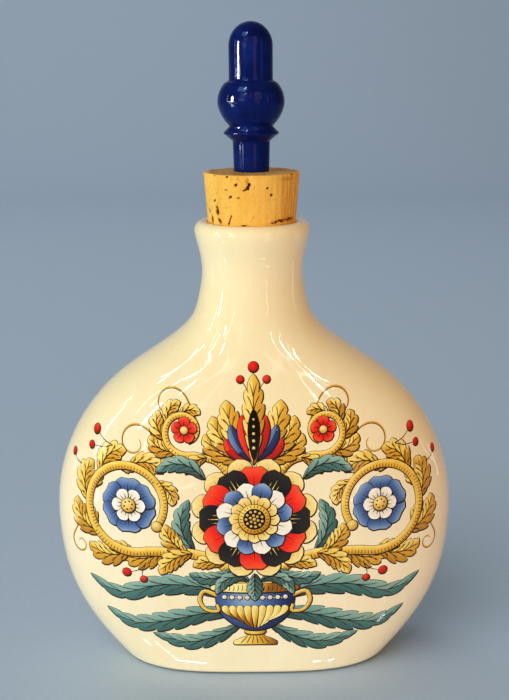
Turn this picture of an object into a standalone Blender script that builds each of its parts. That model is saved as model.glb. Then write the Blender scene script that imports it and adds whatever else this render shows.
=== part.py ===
"""Snuff bottle: a flattened round porcelain flask, closed by a tapered natural
cork that carries a turned, glossy blue knob.

Metres, +Z up. The origin is on the floor, at the middle of the foot. The broad
faces of the flask look along -Y (front) and +Y (back), the narrow sides along X.
Three pieces: flask, cork, knob. The cork and its knob are pulled straight up.
"""

import math

import bmesh
import bpy
from mathutils import Matrix

MM = 0.001

# ---- flask, outside (mm) ---------------------------------------------------
# Stations up the wall: height, half width, half depth, squareness. A section is
# y = half_depth * sqrt(1 - |x / half_width| ** squareness), so 2 is an ellipse.
STATIONS = (
    (0.0, 25.0, 11.2, 3.30),  # foot, before its edge is rounded
    (5.0, 29.1, 12.6, 3.05),
    (11.0, 33.0, 13.8, 2.95),
    (18.0, 35.8, 14.9, 2.90),
    (25.0, 37.0, 15.4, 2.90),
    (31.0, 37.2, 15.5, 2.90),  # widest
    (38.0, 36.3, 15.3, 2.85),
    (45.0, 33.8, 14.7, 2.75),
    (52.0, 29.3, 13.6, 2.60),
    (57.5, 23.6, 12.3, 2.35),  # shoulder
    (62.0, 17.0, 11.0, 2.15),
    (66.5, 11.6, 9.9, 2.03),
    (71.0, 9.8, 9.4, 2.00),
    (75.0, 9.15, 9.15, 2.00),  # waist of the neck
    (78.5, 9.4, 9.4, 2.00),
    (81.0, 10.0, 10.0, 2.00),
    (82.7, 10.36, 10.36, 2.00),  # lip
    (84.5, 10.42, 10.42, 2.00),
)
FLASK_TOP = 84.5
FOOT_EDGE = 1.3  # rounding of the foot's outer edge
FOOT_RING = 3.0  # width of the ring it stands on
FOOT_RECESS = 0.8  # depth of the underside inside the ring
LIP_DROP, LIP_IN = 1.9, 1.45  # outer rounding of the lip, down and inwards
LIP_BORE_EDGE = 0.8  # inner rounding of the lip

# ---- flask, inside (mm) ----------------------------------------------------
WALL = 2.6
CHAMBER_FLOOR = 3.2
CHAMBER_EDGE = 4.0  # rounding at the chamber's floor
CHAMBER_TOP = 71.0  # the chamber runs into the bore above here

# ---- cork (mm) -------------------------------------------------------------
CORK_BOTTOM, CORK_TOP = 74.6, 93.1
CORK_R_BOTTOM, CORK_R_TOP = 7.1, 8.5
CORK_EDGE_BOTTOM, CORK_EDGE_TOP = 0.5, 0.3
GAP = 0.3  # between pieces

# ---- knob (mm) -------------------------------------------------------------
DOME_TOP, DOME_R, DOME_H = 118.4, 3.82, 4.1
KNEE_Z, KNEE = 108.95, 0.55  # fillet between the column and the ball
BALL_Z, BALL_R = 105.05, 5.85
BALL_UP, BALL_DOWN, BALL_DOWN_POWER = 5.1, 6.0, 1.75
GROOVE_Z, GROOVE_R = 100.85, 3.80
COLLAR_Z, COLLAR_R, COLLAR_TIP = 99.74, 4.87, 0.22
COLLAR_FOOT_Z = 98.34
STEM_R_TOP, STEM_R_BOTTOM = 3.27, 3.15
SPIGOT_R, SPIGOT_BARB_R, SPIGOT_LENGTH = 1.75, 2.2, 11.0
SPIGOT_BARBS, SPIGOT_PITCH = 4, 2.2
SPIGOT_HOLE_R, SPIGOT_HOLE_DEPTH = SPIGOT_BARB_R + GAP, 12.0

SEGMENTS = 48  # round the flask and the cork, so that their facets face each other
KNOB_SEGMENTS = 40

# colours read off the object: linear RGB, roughness, metallic
GLAZE = ((0.86, 0.78, 0.58), 0.10, 0.0)
CORK_COLOUR = ((0.62, 0.36, 0.12), 0.80, 0.0)
KNOB_BLUE = ((0.012, 0.022, 0.14), 0.12, 0.0)


def cubic(stations, column):
    """A natural cubic spline through one column of the stations, over height."""
    xs = [s[0] for s in stations]
    ys = [s[column] for s in stations]
    n = len(xs)
    h = [xs[i + 1] - xs[i] for i in range(n - 1)]
    upper, rhs = [0.0] * n, [0.0] * n
    for i in range(1, n - 1):
        slope = (ys[i + 1] - ys[i]) / h[i] - (ys[i] - ys[i - 1]) / h[i - 1]
        pivot = 2.0 * (h[i - 1] + h[i]) - h[i - 1] * upper[i - 1]
        upper[i] = h[i] / pivot
        rhs[i] = (6.0 * slope - h[i - 1] * rhs[i - 1]) / pivot
    m = [0.0] * n
    for i in range(n - 2, 0, -1):
        m[i] = rhs[i] - upper[i] * m[i + 1]

    def at(x):
        i = 0
        while i < n - 2 and x > xs[i + 1]:
            i += 1
        left, right = x - xs[i], xs[i + 1] - x
        return (
            (m[i] * right**3 + m[i + 1] * left**3) / (6.0 * h[i])
            + (ys[i] / h[i] - m[i] * h[i] / 6.0) * right
            + (ys[i + 1] / h[i] - m[i + 1] * h[i] / 6.0) * left
        )

    return at


half_width, half_depth, squareness = (cubic(STATIONS, k) for k in (1, 2, 3))


def wall_at(z, inset=0.0):
    """(z, half width, half depth, squareness) of the flask's wall, moved in by inset."""
    return (
        z,
        half_width(z) - inset,
        half_depth(z) - inset,
        max(2.0, squareness(z)),
    )


def spread(first, last, count):
    """count + 1 even steps from first to last."""
    return [first + (last - first) * i / count for i in range(count + 1)]


def cork_radius(z):
    return CORK_R_BOTTOM + (CORK_R_TOP - CORK_R_BOTTOM) * (z - CORK_BOTTOM) / (
        CORK_TOP - CORK_BOTTOM
    )


def bore_radius(z):
    return cork_radius(z) + GAP


def ring_points(z, a, b, power, segments):
    """One section, counterclockwise seen from above, in metres."""
    points = []
    for i in range(segments):
        t = 2.0 * math.pi * i / segments
        c, s = math.cos(t), math.sin(t)
        if abs(c) < 1e-9:
            c = 0.0
        x = a * math.copysign(abs(c) ** (2.0 / power), c)
        points.append((x * MM, b * s * MM, z * MM))
    return points


def skin(name, rings, segments, origin_z=0.0):
    """A closed body from sections (z, half width, half depth, squareness), listed
    up the inside, over the top and down the outside, so that every face looks out.
    The first and the last ring are capped: a ring of no width becomes a point."""
    bm = bmesh.new()
    loops = []
    for z, a, b, power in rings:
        if a <= 1e-6:
            loops.append([bm.verts.new((0.0, 0.0, (z - origin_z) * MM))])
        else:
            loops.append(
                [
                    bm.verts.new((x, y, zz - origin_z * MM))
                    for x, y, zz in ring_points(z, a, b, power, segments)
                ]
            )
    for low, high in zip(loops, loops[1:]):
        for i in range(segments):
            j = (i + 1) % segments
            if len(low) == 1:
                bm.faces.new((high[j], low[0], high[i]))
            elif len(high) == 1:
                bm.faces.new((low[j], low[i], high[0]))
            else:
                bm.faces.new((low[j], low[i], high[i], high[j]))
    if len(loops[0]) > 1:
        bm.faces.new(loops[0])
    if len(loops[-1]) > 1:
        bm.faces.new(list(reversed(loops[-1])))
    mesh = bpy.data.meshes.new(name)
    bm.to_mesh(mesh)
    bm.free()
    mesh.shade_smooth()
    mesh.set_sharp_from_angle(angle=math.radians(40.0))
    return mesh


def finish_material(name, colour, roughness, metallic):
    material = bpy.data.materials.new(name)
    material.use_nodes = True
    shader = material.node_tree.nodes["Principled BSDF"]
    shader.inputs["Base Color"].default_value = (*colour, 1.0)
    shader.inputs["Roughness"].default_value = roughness
    shader.inputs["Metallic"].default_value = metallic
    return material


def place(name, mesh, look, parent=None, at=(0.0, 0.0, 0.0)):
    ob = bpy.data.objects.new(name, mesh)
    bpy.context.scene.collection.objects.link(ob)
    ob.data.materials.append(finish_material(f"{name}_finish", *look))
    ob.parent = parent
    ob.location = at
    return ob


def round_ring(z, r):
    return (z, r, r, 2.0)


def flask_rings():
    """From the chamber's floor up the inside, over the lip, down the outside and
    under the foot, so that the skin is one closed wall."""
    rings = []
    # inside: the chamber's rounded floor, its wall, then the tapered bore
    for t in spread(0.0, 90.0, 4):
        drop = CHAMBER_EDGE * math.cos(math.radians(t))
        inwards = CHAMBER_EDGE * (1.0 - math.sin(math.radians(t)))
        z = CHAMBER_FLOOR + CHAMBER_EDGE - drop
        rings.append(wall_at(z, WALL + inwards))
    for z in spread(CHAMBER_FLOOR + CHAMBER_EDGE, CHAMBER_TOP, 17)[1:]:
        rings.append(wall_at(z, WALL))
    lip_start = FLASK_TOP - LIP_BORE_EDGE
    for z in spread(CORK_BOTTOM - 1.2, lip_start, 3):
        rings.append(round_ring(z, bore_radius(z)))
    # over the lip
    bore_top = bore_radius(lip_start)
    for t in spread(0.0, 90.0, 3)[1:]:
        rings.append(
            round_ring(
                lip_start + LIP_BORE_EDGE * math.sin(math.radians(t)),
                bore_top + LIP_BORE_EDGE * (1.0 - math.cos(math.radians(t))),
            )
        )
    for t in spread(90.0, 0.0, 5):
        z = FLASK_TOP - LIP_DROP * (1.0 - math.sin(math.radians(t)))
        rings.append(wall_at(z, LIP_IN * (1.0 - math.cos(math.radians(t)))))
    # down the outside, closer together where the shoulder turns
    neck_low, shoulder_low = 70.0, 50.0
    for z in spread(FLASK_TOP - LIP_DROP, neck_low, 8)[1:]:
        rings.append(wall_at(z))
    for z in spread(neck_low, shoulder_low, 10)[1:]:
        rings.append(wall_at(z))
    for z in spread(shoulder_low, FOOT_EDGE, 16)[1:]:
        rings.append(wall_at(z))
    # round the foot's edge, across the ring and up into the recess
    for t in spread(0.0, 90.0, 4)[1:]:
        z = FOOT_EDGE * (1.0 - math.sin(math.radians(t)))
        rings.append(wall_at(z, FOOT_EDGE * (1.0 - math.cos(math.radians(t)))))
    inner = FOOT_EDGE + FOOT_RING
    rings.append(wall_at(0.0, inner))
    z, a, b, power = wall_at(0.0, inner + FOOT_RECESS)
    rings.append((FOOT_RECESS, a, b, power))
    return rings


def cork_rings():
    """From the bottom of the spigot's hole up, out over the top and down."""
    hole_z = CORK_TOP - SPIGOT_HOLE_DEPTH
    return [
        round_ring(hole_z, SPIGOT_HOLE_R),
        round_ring(CORK_TOP, SPIGOT_HOLE_R),
        round_ring(CORK_TOP, cork_radius(CORK_TOP) - CORK_EDGE_TOP),
        round_ring(CORK_TOP - CORK_EDGE_TOP, cork_radius(CORK_TOP - CORK_EDGE_TOP)),
        round_ring(
            CORK_BOTTOM + CORK_EDGE_BOTTOM, cork_radius(CORK_BOTTOM + CORK_EDGE_BOTTOM)
        ),
        round_ring(CORK_BOTTOM, CORK_R_BOTTOM - CORK_EDGE_BOTTOM),
    ]


def knob_rings():
    """The turned profile from the top of the dome down to the tip of the spigot."""
    rings = []
    for t in spread(90.0, 0.0, 8):
        rings.append(
            round_ring(
                DOME_TOP - DOME_H * (1.0 - math.sin(math.radians(t))),
                0.0 if t == 90.0 else DOME_R * math.cos(math.radians(t)),
            )
        )
    # the column, and the small fillet where it meets the ball
    for t in spread(0.0, 60.0, 3):
        rings.append(
            round_ring(
                KNEE_Z - KNEE * math.sin(math.radians(t)),
                DOME_R + KNEE * (1.0 - math.cos(math.radians(t))),
            )
        )
    # the ball, an ellipse above its equator and fuller towards a cone below
    start = math.degrees(math.asin((KNEE_Z - KNEE - 0.15 - BALL_Z) / BALL_UP))
    for t in spread(start, 0.0, 7):
        rings.append(
            round_ring(
                BALL_Z + BALL_UP * math.sin(math.radians(t)),
                BALL_R * math.cos(math.radians(t)),
            )
        )
    for drop in spread(0.0, BALL_Z - GROOVE_Z, 7)[1:-1]:
        share = 1.0 - (drop / BALL_DOWN) ** BALL_DOWN_POWER
        rings.append(
            round_ring(BALL_Z - drop, BALL_R * share ** (1.0 / BALL_DOWN_POWER))
        )
    rings.append(round_ring(GROOVE_Z, GROOVE_R))
    # the collar: two cones that meet in a narrow rounded rim
    for t in spread(60.0, -60.0, 4):
        rings.append(
            round_ring(
                COLLAR_Z + COLLAR_TIP * math.sin(math.radians(t)),
                COLLAR_R - COLLAR_TIP * (1.0 - math.cos(math.radians(t))),
            )
        )
    stem_bottom = CORK_TOP + GAP
    rings.append(round_ring(COLLAR_FOOT_Z, STEM_R_TOP))
    rings.append(round_ring(stem_bottom, STEM_R_BOTTOM))
    # the spigot in the cork, with raised barbs that slope towards its tip
    rings.append(round_ring(stem_bottom, SPIGOT_R))
    for i in range(SPIGOT_BARBS):
        top = CORK_TOP - 1.2 - i * SPIGOT_PITCH
        rings.append(round_ring(top, SPIGOT_R))
        rings.append(round_ring(top - 0.15, SPIGOT_BARB_R))
        rings.append(round_ring(top - SPIGOT_PITCH * 0.7, SPIGOT_R))
    tip = CORK_TOP - SPIGOT_LENGTH
    rings.append(round_ring(tip + 0.7, SPIGOT_R))
    rings.append(round_ring(tip, 1.0))
    rings.append(round_ring(tip, 0.0))
    return rings


def main():
    for ob in list(bpy.data.objects):
        bpy.data.objects.remove(ob, do_unlink=True)

    place("flask", skin("flask", flask_rings(), SEGMENTS), GLAZE)

    # the stopper: the cork and its knob hang on one frame, on the axis they are
    # drawn along
    stopper = bpy.data.objects.new("stopper_axis", None)
    bpy.context.scene.collection.objects.link(stopper)
    stopper.matrix_world = Matrix.Translation((0.0, 0.0, CORK_BOTTOM * MM))
    place(
        "cork",
        skin("cork", cork_rings(), SEGMENTS, CORK_BOTTOM),
        CORK_COLOUR,
        parent=stopper,
    )
    place(
        "knob",
        skin("knob", knob_rings(), KNOB_SEGMENTS, CORK_BOTTOM),
        KNOB_BLUE,
        parent=stopper,
    )
    bpy.context.view_layer.update()


main()
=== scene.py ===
"""Snuff bottle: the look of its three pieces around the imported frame.

The glazed flask is one closed skin whose front carries a printed flower design,
drawn here as plane shapes in the flask's own surface coordinates and cut into the
skin. The cork has modelled pores, and the knob is turned and lacquered.
Lengths in the tables are millimetres; the scene is in metres.
"""

import itertools
import math

import bpy
import numpy as np
from mathutils import Euler, Matrix, Quaternion, Vector
from mathutils.geometry import delaunay_2d_cdt


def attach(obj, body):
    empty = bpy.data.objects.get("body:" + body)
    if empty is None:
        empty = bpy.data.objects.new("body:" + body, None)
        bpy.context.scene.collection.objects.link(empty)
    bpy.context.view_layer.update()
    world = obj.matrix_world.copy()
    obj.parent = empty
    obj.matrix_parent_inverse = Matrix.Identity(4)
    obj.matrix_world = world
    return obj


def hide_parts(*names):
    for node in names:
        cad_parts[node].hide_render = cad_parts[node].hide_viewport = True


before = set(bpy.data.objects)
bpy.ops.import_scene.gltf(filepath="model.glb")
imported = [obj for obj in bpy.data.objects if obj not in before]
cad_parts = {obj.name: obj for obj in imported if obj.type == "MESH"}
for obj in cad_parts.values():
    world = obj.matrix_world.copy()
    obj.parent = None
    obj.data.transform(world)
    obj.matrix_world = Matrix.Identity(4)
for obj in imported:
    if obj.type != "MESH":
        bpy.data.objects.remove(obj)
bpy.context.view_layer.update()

MM = 0.001

# ---------------------------------------------------------------------------
# the flask's shape: height, half width, half depth, squareness
# ---------------------------------------------------------------------------
STATIONS = np.array(
    (
        (0.0, 25.0, 11.2, 3.30),
        (5.0, 29.1, 12.6, 3.05),
        (11.0, 33.0, 13.8, 2.95),
        (18.0, 35.8, 14.9, 2.90),
        (25.0, 37.0, 15.4, 2.90),
        (31.0, 37.2, 15.5, 2.90),
        (38.0, 36.3, 15.3, 2.85),
        (45.0, 33.8, 14.7, 2.75),
        (52.0, 29.3, 13.6, 2.60),
        (57.5, 23.6, 12.3, 2.35),
        (62.0, 17.0, 11.0, 2.15),
        (66.5, 11.6, 9.9, 2.03),
        (71.0, 9.8, 9.4, 2.00),
        (75.0, 9.15, 9.15, 2.00),
        (78.5, 9.4, 9.4, 2.00),
        (81.0, 10.0, 10.0, 2.00),
        (82.7, 10.36, 10.36, 2.00),
        (84.5, 10.42, 10.42, 2.00),
    )
)
FLASK_TOP = 84.5
FOOT_EDGE, FOOT_RING, FOOT_RECESS = 1.3, 3.0, 0.8
LIP_DROP, LIP_IN, LIP_BORE_EDGE = 1.9, 1.45, 0.8
WALL, CHAMBER_FLOOR, CHAMBER_EDGE, CHAMBER_TOP = 2.6, 3.2, 4.0, 71.0
CORK_BOTTOM, CORK_TOP = 74.6, 93.1
CORK_R_BOTTOM, CORK_R_TOP = 7.1, 8.5
SNUG = 0.09  # between the cork and the bore, so that the cork looks pressed in
SKIN_IN = 0.012  # keeps the fine skin just inside the faceted one

SEGMENTS = 160  # round the flask
QUARTER = SEGMENTS // 4


class Cubic:
    """A natural cubic spline, with its first derivative."""

    def __init__(self, xs, ys):
        self.xs, self.ys = np.asarray(xs, float), np.asarray(ys, float)
        n = len(xs)
        self.h = np.diff(self.xs)
        m = np.zeros((n, n))
        rhs = np.zeros(n)
        m[0, 0] = m[-1, -1] = 1.0
        for i in range(1, n - 1):
            m[i, i - 1], m[i, i + 1] = self.h[i - 1], self.h[i]
            m[i, i] = 2.0 * (self.h[i - 1] + self.h[i])
            rhs[i] = 6.0 * (
                (self.ys[i + 1] - self.ys[i]) / self.h[i]
                - (self.ys[i] - self.ys[i - 1]) / self.h[i - 1]
            )
        self.m = np.linalg.solve(m, rhs)

    def __call__(self, x, slope=False):
        x = np.asarray(x, float)
        i = np.clip(np.searchsorted(self.xs, x) - 1, 0, len(self.h) - 1)
        h, m0, m1 = self.h[i], self.m[i], self.m[i + 1]
        left, right = x - self.xs[i], self.xs[i + 1] - x
        if slope:
            return (
                (-m0 * right**2 + m1 * left**2) / (2.0 * h)
                - (self.ys[i] / h - m0 * h / 6.0)
                + (self.ys[i + 1] / h - m1 * h / 6.0)
            )
        return (
            (m0 * right**3 + m1 * left**3) / (6.0 * h)
            + (self.ys[i] / h - m0 * h / 6.0) * right
            + (self.ys[i + 1] / h - m1 * h / 6.0) * left
        )


half_width = Cubic(STATIONS[:, 0], STATIONS[:, 1] - SKIN_IN)
half_depth = Cubic(STATIONS[:, 0], STATIONS[:, 2] - SKIN_IN)
squareness_raw = Cubic(STATIONS[:, 0], STATIONS[:, 3])


def squareness(z):
    return np.maximum(2.0, squareness_raw(z))


def cork_radius(z):
    return CORK_R_BOTTOM + (CORK_R_TOP - CORK_R_BOTTOM) * (z - CORK_BOTTOM) / (
        CORK_TOP - CORK_BOTTOM
    )


def bore_radius(z):
    return cork_radius(z) + SNUG


# ---------------------------------------------------------------------------
# small tools
# ---------------------------------------------------------------------------
def smooth_step(low, high, x):
    t = np.clip((x - low) / (high - low), 0.0, 1.0)
    return t * t * (3.0 - 2.0 * t)


def lattice(cells, seed):
    """A repeatable number from -1 to 1 for each lattice point."""
    h = (
        cells[..., 0] * 73856093
        ^ cells[..., 1] * 19349663
        ^ cells[..., 2] * 83492791
        ^ (seed * 2654435761)
    ) & 0xFFFFFFFF
    h = ((h ^ (h >> 15)) * 2246822519) & 0xFFFFFFFF
    h = ((h ^ (h >> 13)) * 3266489917) & 0xFFFFFFFF
    h = h ^ (h >> 16)
    return h / 2147483647.5 - 1.0


def noise(points, seed=1, octaves=1, gain=0.5):
    """Smooth noise of about -1 to 1 at points (n, 3), in octaves."""
    total, strength, reach = 0.0, 1.0, 0.0
    p = np.asarray(points, float)
    for k in range(octaves):
        cell = np.floor(p).astype(np.int64)
        f = p - cell
        u = f * f * f * (f * (f * 6.0 - 15.0) + 10.0)
        value = 0.0
        for corner in itertools.product((0, 1), repeat=3):
            w = 1.0
            for axis in range(3):
                w = w * (u[..., axis] if corner[axis] else 1.0 - u[..., axis])
            value = value + w * lattice(cell + np.array(corner), seed + 17 * k)
        total = total + strength * value
        reach += strength
        strength *= gain
        p = p * 2.03 + 11.7
    return total / reach


def spread(first, last, count):
    return np.linspace(first, last, count + 1)


def new_object(name, mesh):
    ob = bpy.data.objects.new(name, mesh)
    bpy.context.scene.collection.objects.link(ob)
    return ob


def grid_normals(points, wrap=True, flip=False):
    """Normals of a grid of points (rings, round, 3), by central differences."""
    along = np.empty_like(points)
    along[1:-1] = points[2:] - points[:-2]
    along[0] = points[1] - points[0]
    along[-1] = points[-1] - points[-2]
    around = np.roll(points, -1, 1) - np.roll(points, 1, 1)
    n = np.cross(along, around)
    size = np.linalg.norm(n, axis=2, keepdims=True)
    n = n / np.maximum(size, 1e-12)
    return -n if flip else n


# ---------------------------------------------------------------------------
# the flask's skin
# ---------------------------------------------------------------------------
def quarter_sections(z, a, b, p, count):
    """First quadrants of sections, evenly spaced along their own length:
    x and y as (rings, count + 1), and each quadrant's length."""
    t = np.linspace(0.0, math.pi / 2, 2400)
    c, s = np.cos(t), np.sin(t)
    c[-1] = 0.0
    xs = a[:, None] * c[None, :] ** (2.0 / p[:, None])
    ys = b[:, None] * s[None, :]
    steps = np.hypot(np.diff(xs, axis=1), np.diff(ys, axis=1))
    run = np.concatenate([np.zeros((len(z), 1)), np.cumsum(steps, axis=1)], axis=1)
    x = np.empty((len(z), count + 1))
    y = np.empty((len(z), count + 1))
    for r in range(len(z)):
        want = np.linspace(0.0, run[r, -1], count + 1)
        x[r] = np.interp(want, run[r], xs[r])
        y[r] = np.interp(want, run[r], ys[r])
    x[:, -1] = 0.0
    y[:, 0] = 0.0
    return x, y, run[:, -1]


def full_sections(x, y):
    """Whole rings from their first quadrants, counterclockwise from +X."""
    q = x.shape[1] - 1
    fx = np.concatenate([x[:, :q], -x[:, q:0:-1], -x[:, :q], x[:, q:0:-1]], axis=1)
    fy = np.concatenate([y[:, :q], y[:, q:0:-1], -y[:, :q], -y[:, q:0:-1]], axis=1)
    return fx, fy


def flask_rings():
    """Rows of (z, half width, half depth, squareness, zone), from the chamber's
    floor up the inside, over the lip, down the outside and under the foot."""
    rows = []

    def wall(z, inset, zone):
        rows.append(
            (
                z,
                float(half_width(z)) - inset,
                float(half_depth(z)) - inset,
                float(squareness(z)),
                zone,
            )
        )

    def round_(z, r, zone):
        rows.append((z, r, r, 2.0, zone))

    floor_a = float(half_width(CHAMBER_FLOOR)) - WALL - CHAMBER_EDGE
    floor_b = float(half_depth(CHAMBER_FLOOR)) - WALL - CHAMBER_EDGE
    for share in (0.25, 0.6):
        rows.append((CHAMBER_FLOOR, floor_a * share, floor_b * share, 3.0, "inside"))
    for t in np.radians(spread(0.0, 90.0, 6)):
        wall(
            CHAMBER_FLOOR + CHAMBER_EDGE * (1.0 - math.cos(t)),
            WALL + CHAMBER_EDGE * (1.0 - math.sin(t)),
            "inside",
        )
    for z in spread(CHAMBER_FLOOR + CHAMBER_EDGE, CHAMBER_TOP, 26)[1:]:
        wall(float(z), WALL, "inside")
    lip_start = FLASK_TOP - LIP_BORE_EDGE
    for z in spread(CORK_BOTTOM - 1.2, lip_start, 10):
        round_(float(z), bore_radius(float(z)), "inside")
    bore_top = bore_radius(lip_start)
    for t in np.radians(spread(0.0, 90.0, 8))[1:]:
        round_(
            lip_start + LIP_BORE_EDGE * math.sin(t),
            bore_top + LIP_BORE_EDGE * (1.0 - math.cos(t)),
            "outside",
        )
    for t in np.radians(spread(90.0, 0.0, 12)):
        wall(
            FLASK_TOP - LIP_DROP * (1.0 - math.sin(t)),
            LIP_IN * (1.0 - math.cos(t)),
            "outside",
        )
    for z in spread(FLASK_TOP - LIP_DROP, FOOT_EDGE, 84)[1:]:
        wall(float(z), 0.0, "outside")
    for t in np.radians(spread(0.0, 90.0, 8))[1:]:
        wall(
            FOOT_EDGE * (1.0 - math.sin(t)),
            FOOT_EDGE * (1.0 - math.cos(t)),
            "outside" if t < math.radians(60) else "foot",
        )
    # across the ring, with a small edge on its inner side, then the recess
    edge = 0.25
    inner = FOOT_EDGE + FOOT_RING
    for inset in spread(FOOT_EDGE, inner - edge, 4)[1:]:
        wall(0.0, float(inset), "foot")
    z0, a0, b0, p0, _ = rows[-1]
    for t in np.radians(spread(0.0, 90.0, 4))[1:]:
        rows.append(
            (
                edge * (1.0 - math.cos(t)),
                a0 - edge * math.sin(t),
                b0 - edge * math.sin(t),
                p0,
                "foot",
            )
        )
    fillet = FOOT_RECESS - edge
    z1, a1, b1, p1, _ = rows[-1]
    for t in np.radians(spread(0.0, 90.0, 5))[1:]:
        rows.append(
            (
                z1 + fillet * math.sin(t),
                a1 - fillet * 1.4 * (1.0 - math.cos(t)),
                b1 - fillet * 1.4 * (1.0 - math.cos(t)),
                p1,
                "recess",
            )
        )
    z2, a2, b2, p2, _ = rows[-1]
    for share in (0.8, 0.5, 0.2):
        rows.append((z2, a2 * share, b2 * share, p2, "recess"))
    return rows


# the printed design lies on the front, in surface coordinates: s runs along the
# section from the front's middle line, z is the height
PRINT_COLUMNS = 36  # of QUARTER, to each side
PRINT_LOW, PRINT_HIGH = 3.0, 63.0


def surface_tables():
    """x and y of the outer wall over (height, share of the quadrant's length from
    the middle line), and the quadrant's length over height."""
    z = np.linspace(1.0, 68.0, 672)
    x, y, length = quarter_sections(
        z, half_width(z), half_depth(z), squareness(z), 720
    )
    return z, x[:, ::-1], y[:, ::-1], length


def look_up(table, row, column):
    r = np.clip(row, 0, table.shape[0] - 1.001)
    c = np.clip(column, 0, table.shape[1] - 1.001)
    i, j = r.astype(int), c.astype(int)
    u, v = r - i, c - j
    return (
        table[i, j] * (1 - u) * (1 - v)
        + table[i + 1, j] * u * (1 - v)
        + table[i, j + 1] * (1 - u) * v
        + table[i + 1, j + 1] * u * v
    )


def on_wall(s, z, tables):
    """The outer wall's front at surface coordinates, with its normal."""
    zs, tx, ty, length = tables
    row = (z - zs[0]) / (zs[1] - zs[0])
    whole = np.interp(z, zs, length)
    column = np.abs(s) / whole * (tx.shape[1] - 1)
    x = look_up(tx, row, column) * np.sign(s)
    y = -look_up(ty, row, column)
    return np.stack([x, y, z], axis=1), wall_normal(x, y, z)


def wall_normal(x, y, z):
    a, b, p = half_width(z), half_depth(z), squareness(z)
    da, db = half_width(z, slope=True), half_depth(z, slope=True)
    dp = np.where(p > 2.0, squareness_raw(z, slope=True), 0.0)
    u = np.clip(np.abs(x) / a, 1e-9, None)
    power = u**p
    n = np.stack(
        [
            p / a * u ** (p - 1.0) * np.sign(x),
            2.0 * y / b**2,
            power * (dp * np.log(u) - p * da / a) - 2.0 * y**2 * db / b**3,
        ],
        axis=1,
    )
    return n / np.linalg.norm(n, axis=1, keepdims=True)


# printed design: begin
def linear(r, g, b):
    """A colour given as screen values from 0 to 255, in linear light."""
    return tuple(((c / 255 + 0.055) / 1.055) ** 2.4 for c in (r, g, b))


INK = linear(44, 22, 8)
INK_SOFT = linear(92, 52, 14)
GOLD = [linear(150, 92, 14), linear(226, 168, 46), linear(250, 212, 92), linear(255, 242, 160)]
GOLD_PALE = [linear(176, 122, 34), linear(236, 194, 92), linear(255, 236, 162)]
TEAL = [linear(24, 54, 54), linear(70, 118, 112), linear(118, 164, 152), linear(178, 204, 184)]
RED = [linear(128, 6, 4), linear(206, 20, 10), linear(240, 40, 16), linear(250, 92, 50)]
WHITE = [linear(196, 184, 158), linear(240, 232, 212), linear(252, 248, 236)]
NAVY = [linear(14, 22, 50), linear(36, 54, 104), linear(74, 106, 162), linear(146, 174, 208)]
BLACK = [linear(5, 4, 4), linear(18, 15, 14)]
GOLD_METAL = 0.10
LIGHT_FROM = np.array([-0.6, 0.8])


# ---- curves ---------------------------------------------------------------
def smooth_curve(points, per=8, closed=False):
    """A curve through points, with per steps to each span."""
    p = np.asarray(points, float)
    if closed:
        p = np.concatenate([p[-1:], p, p[:2]])
    else:
        p = np.concatenate([2 * p[:1] - p[1:2], p, 2 * p[-1:] - p[-2:-1]])
    t = (np.arange(per) / per)[:, None]
    out = [
        0.5
        * (
            2 * b
            + (c - a) * t
            + (2 * a - 5 * b + 4 * c - d) * t**2
            + (3 * b - a - 3 * c + d) * t**3
        )
        for a, b, c, d in zip(p, p[1:], p[2:], p[3:])
    ]
    if not closed:
        out.append(p[-2:-1])
    return np.concatenate(out)


def even(path, step):
    """A path cut into equal steps of about the given length."""
    run = np.concatenate([[0], np.cumsum(np.hypot(*np.diff(path, axis=0).T))])
    count = max(3, int(round(run[-1] / step)))
    want = np.linspace(0, run[-1], count + 1)
    return np.stack([np.interp(want, run, path[:, k]) for k in (0, 1)], axis=1)


def headings(path, closed=False):
    if closed:
        d = np.roll(path, -1, 0) - np.roll(path, 1, 0)
    else:
        d = np.gradient(path, axis=0)
    return d / np.maximum(np.hypot(d[:, 0], d[:, 1]), 1e-9)[:, None]


def left_of(d):
    return np.stack([-d[:, 1], d[:, 0]], axis=1)


def curl(start, heading, length, bend, count=16):
    """A spine that leaves start at a heading in degrees and bends on its way."""
    a = np.radians(heading + bend * (np.arange(count) / (count - 1)) ** 1.3)
    step = length / count
    moves = np.stack([np.cos(a), np.sin(a)], axis=1) * step
    return np.concatenate([[start], np.asarray(start) + np.cumsum(moves, axis=0)])


def spiral(centre, r0, r1, a0, a1, count=40):
    t = np.linspace(0, 1, count)
    a = np.radians(a0 + (a1 - a0) * t)
    r = r0 + (r1 - r0) * t**0.8
    return np.asarray(centre) + np.stack([r * np.cos(a), r * np.sin(a)], axis=1)


# ---- paints: functions of places, giving colour and metal share --------------
def ramp(stops, value):
    value = np.clip(value, 0, 1) * (len(stops) - 1)
    i = np.minimum(value.astype(int), len(stops) - 2)
    f = (value - i)[:, None]
    table = np.asarray(stops)
    return table[i] * (1 - f) + table[i + 1] * f


def flat(colour, metal=0.0):
    def paint(places):
        return np.tile((*colour, metal), (len(places), 1))

    return paint


def across(stops, start, end, metal=0.0):
    start, end = np.asarray(start, float), np.asarray(end, float)
    way = end - start

    def paint(places):
        t = (places - start) @ way / (way @ way)
        return np.column_stack([ramp(stops, t), np.full(len(places), metal)])

    return paint


def rounded(stops, centre, radius, metal=0.0):
    centre = np.asarray(centre, float)

    def paint(places):
        t = np.hypot(*(places - centre).T) / radius
        return np.column_stack([ramp(stops, 1 - t), np.full(len(places), metal)])

    return paint


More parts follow.
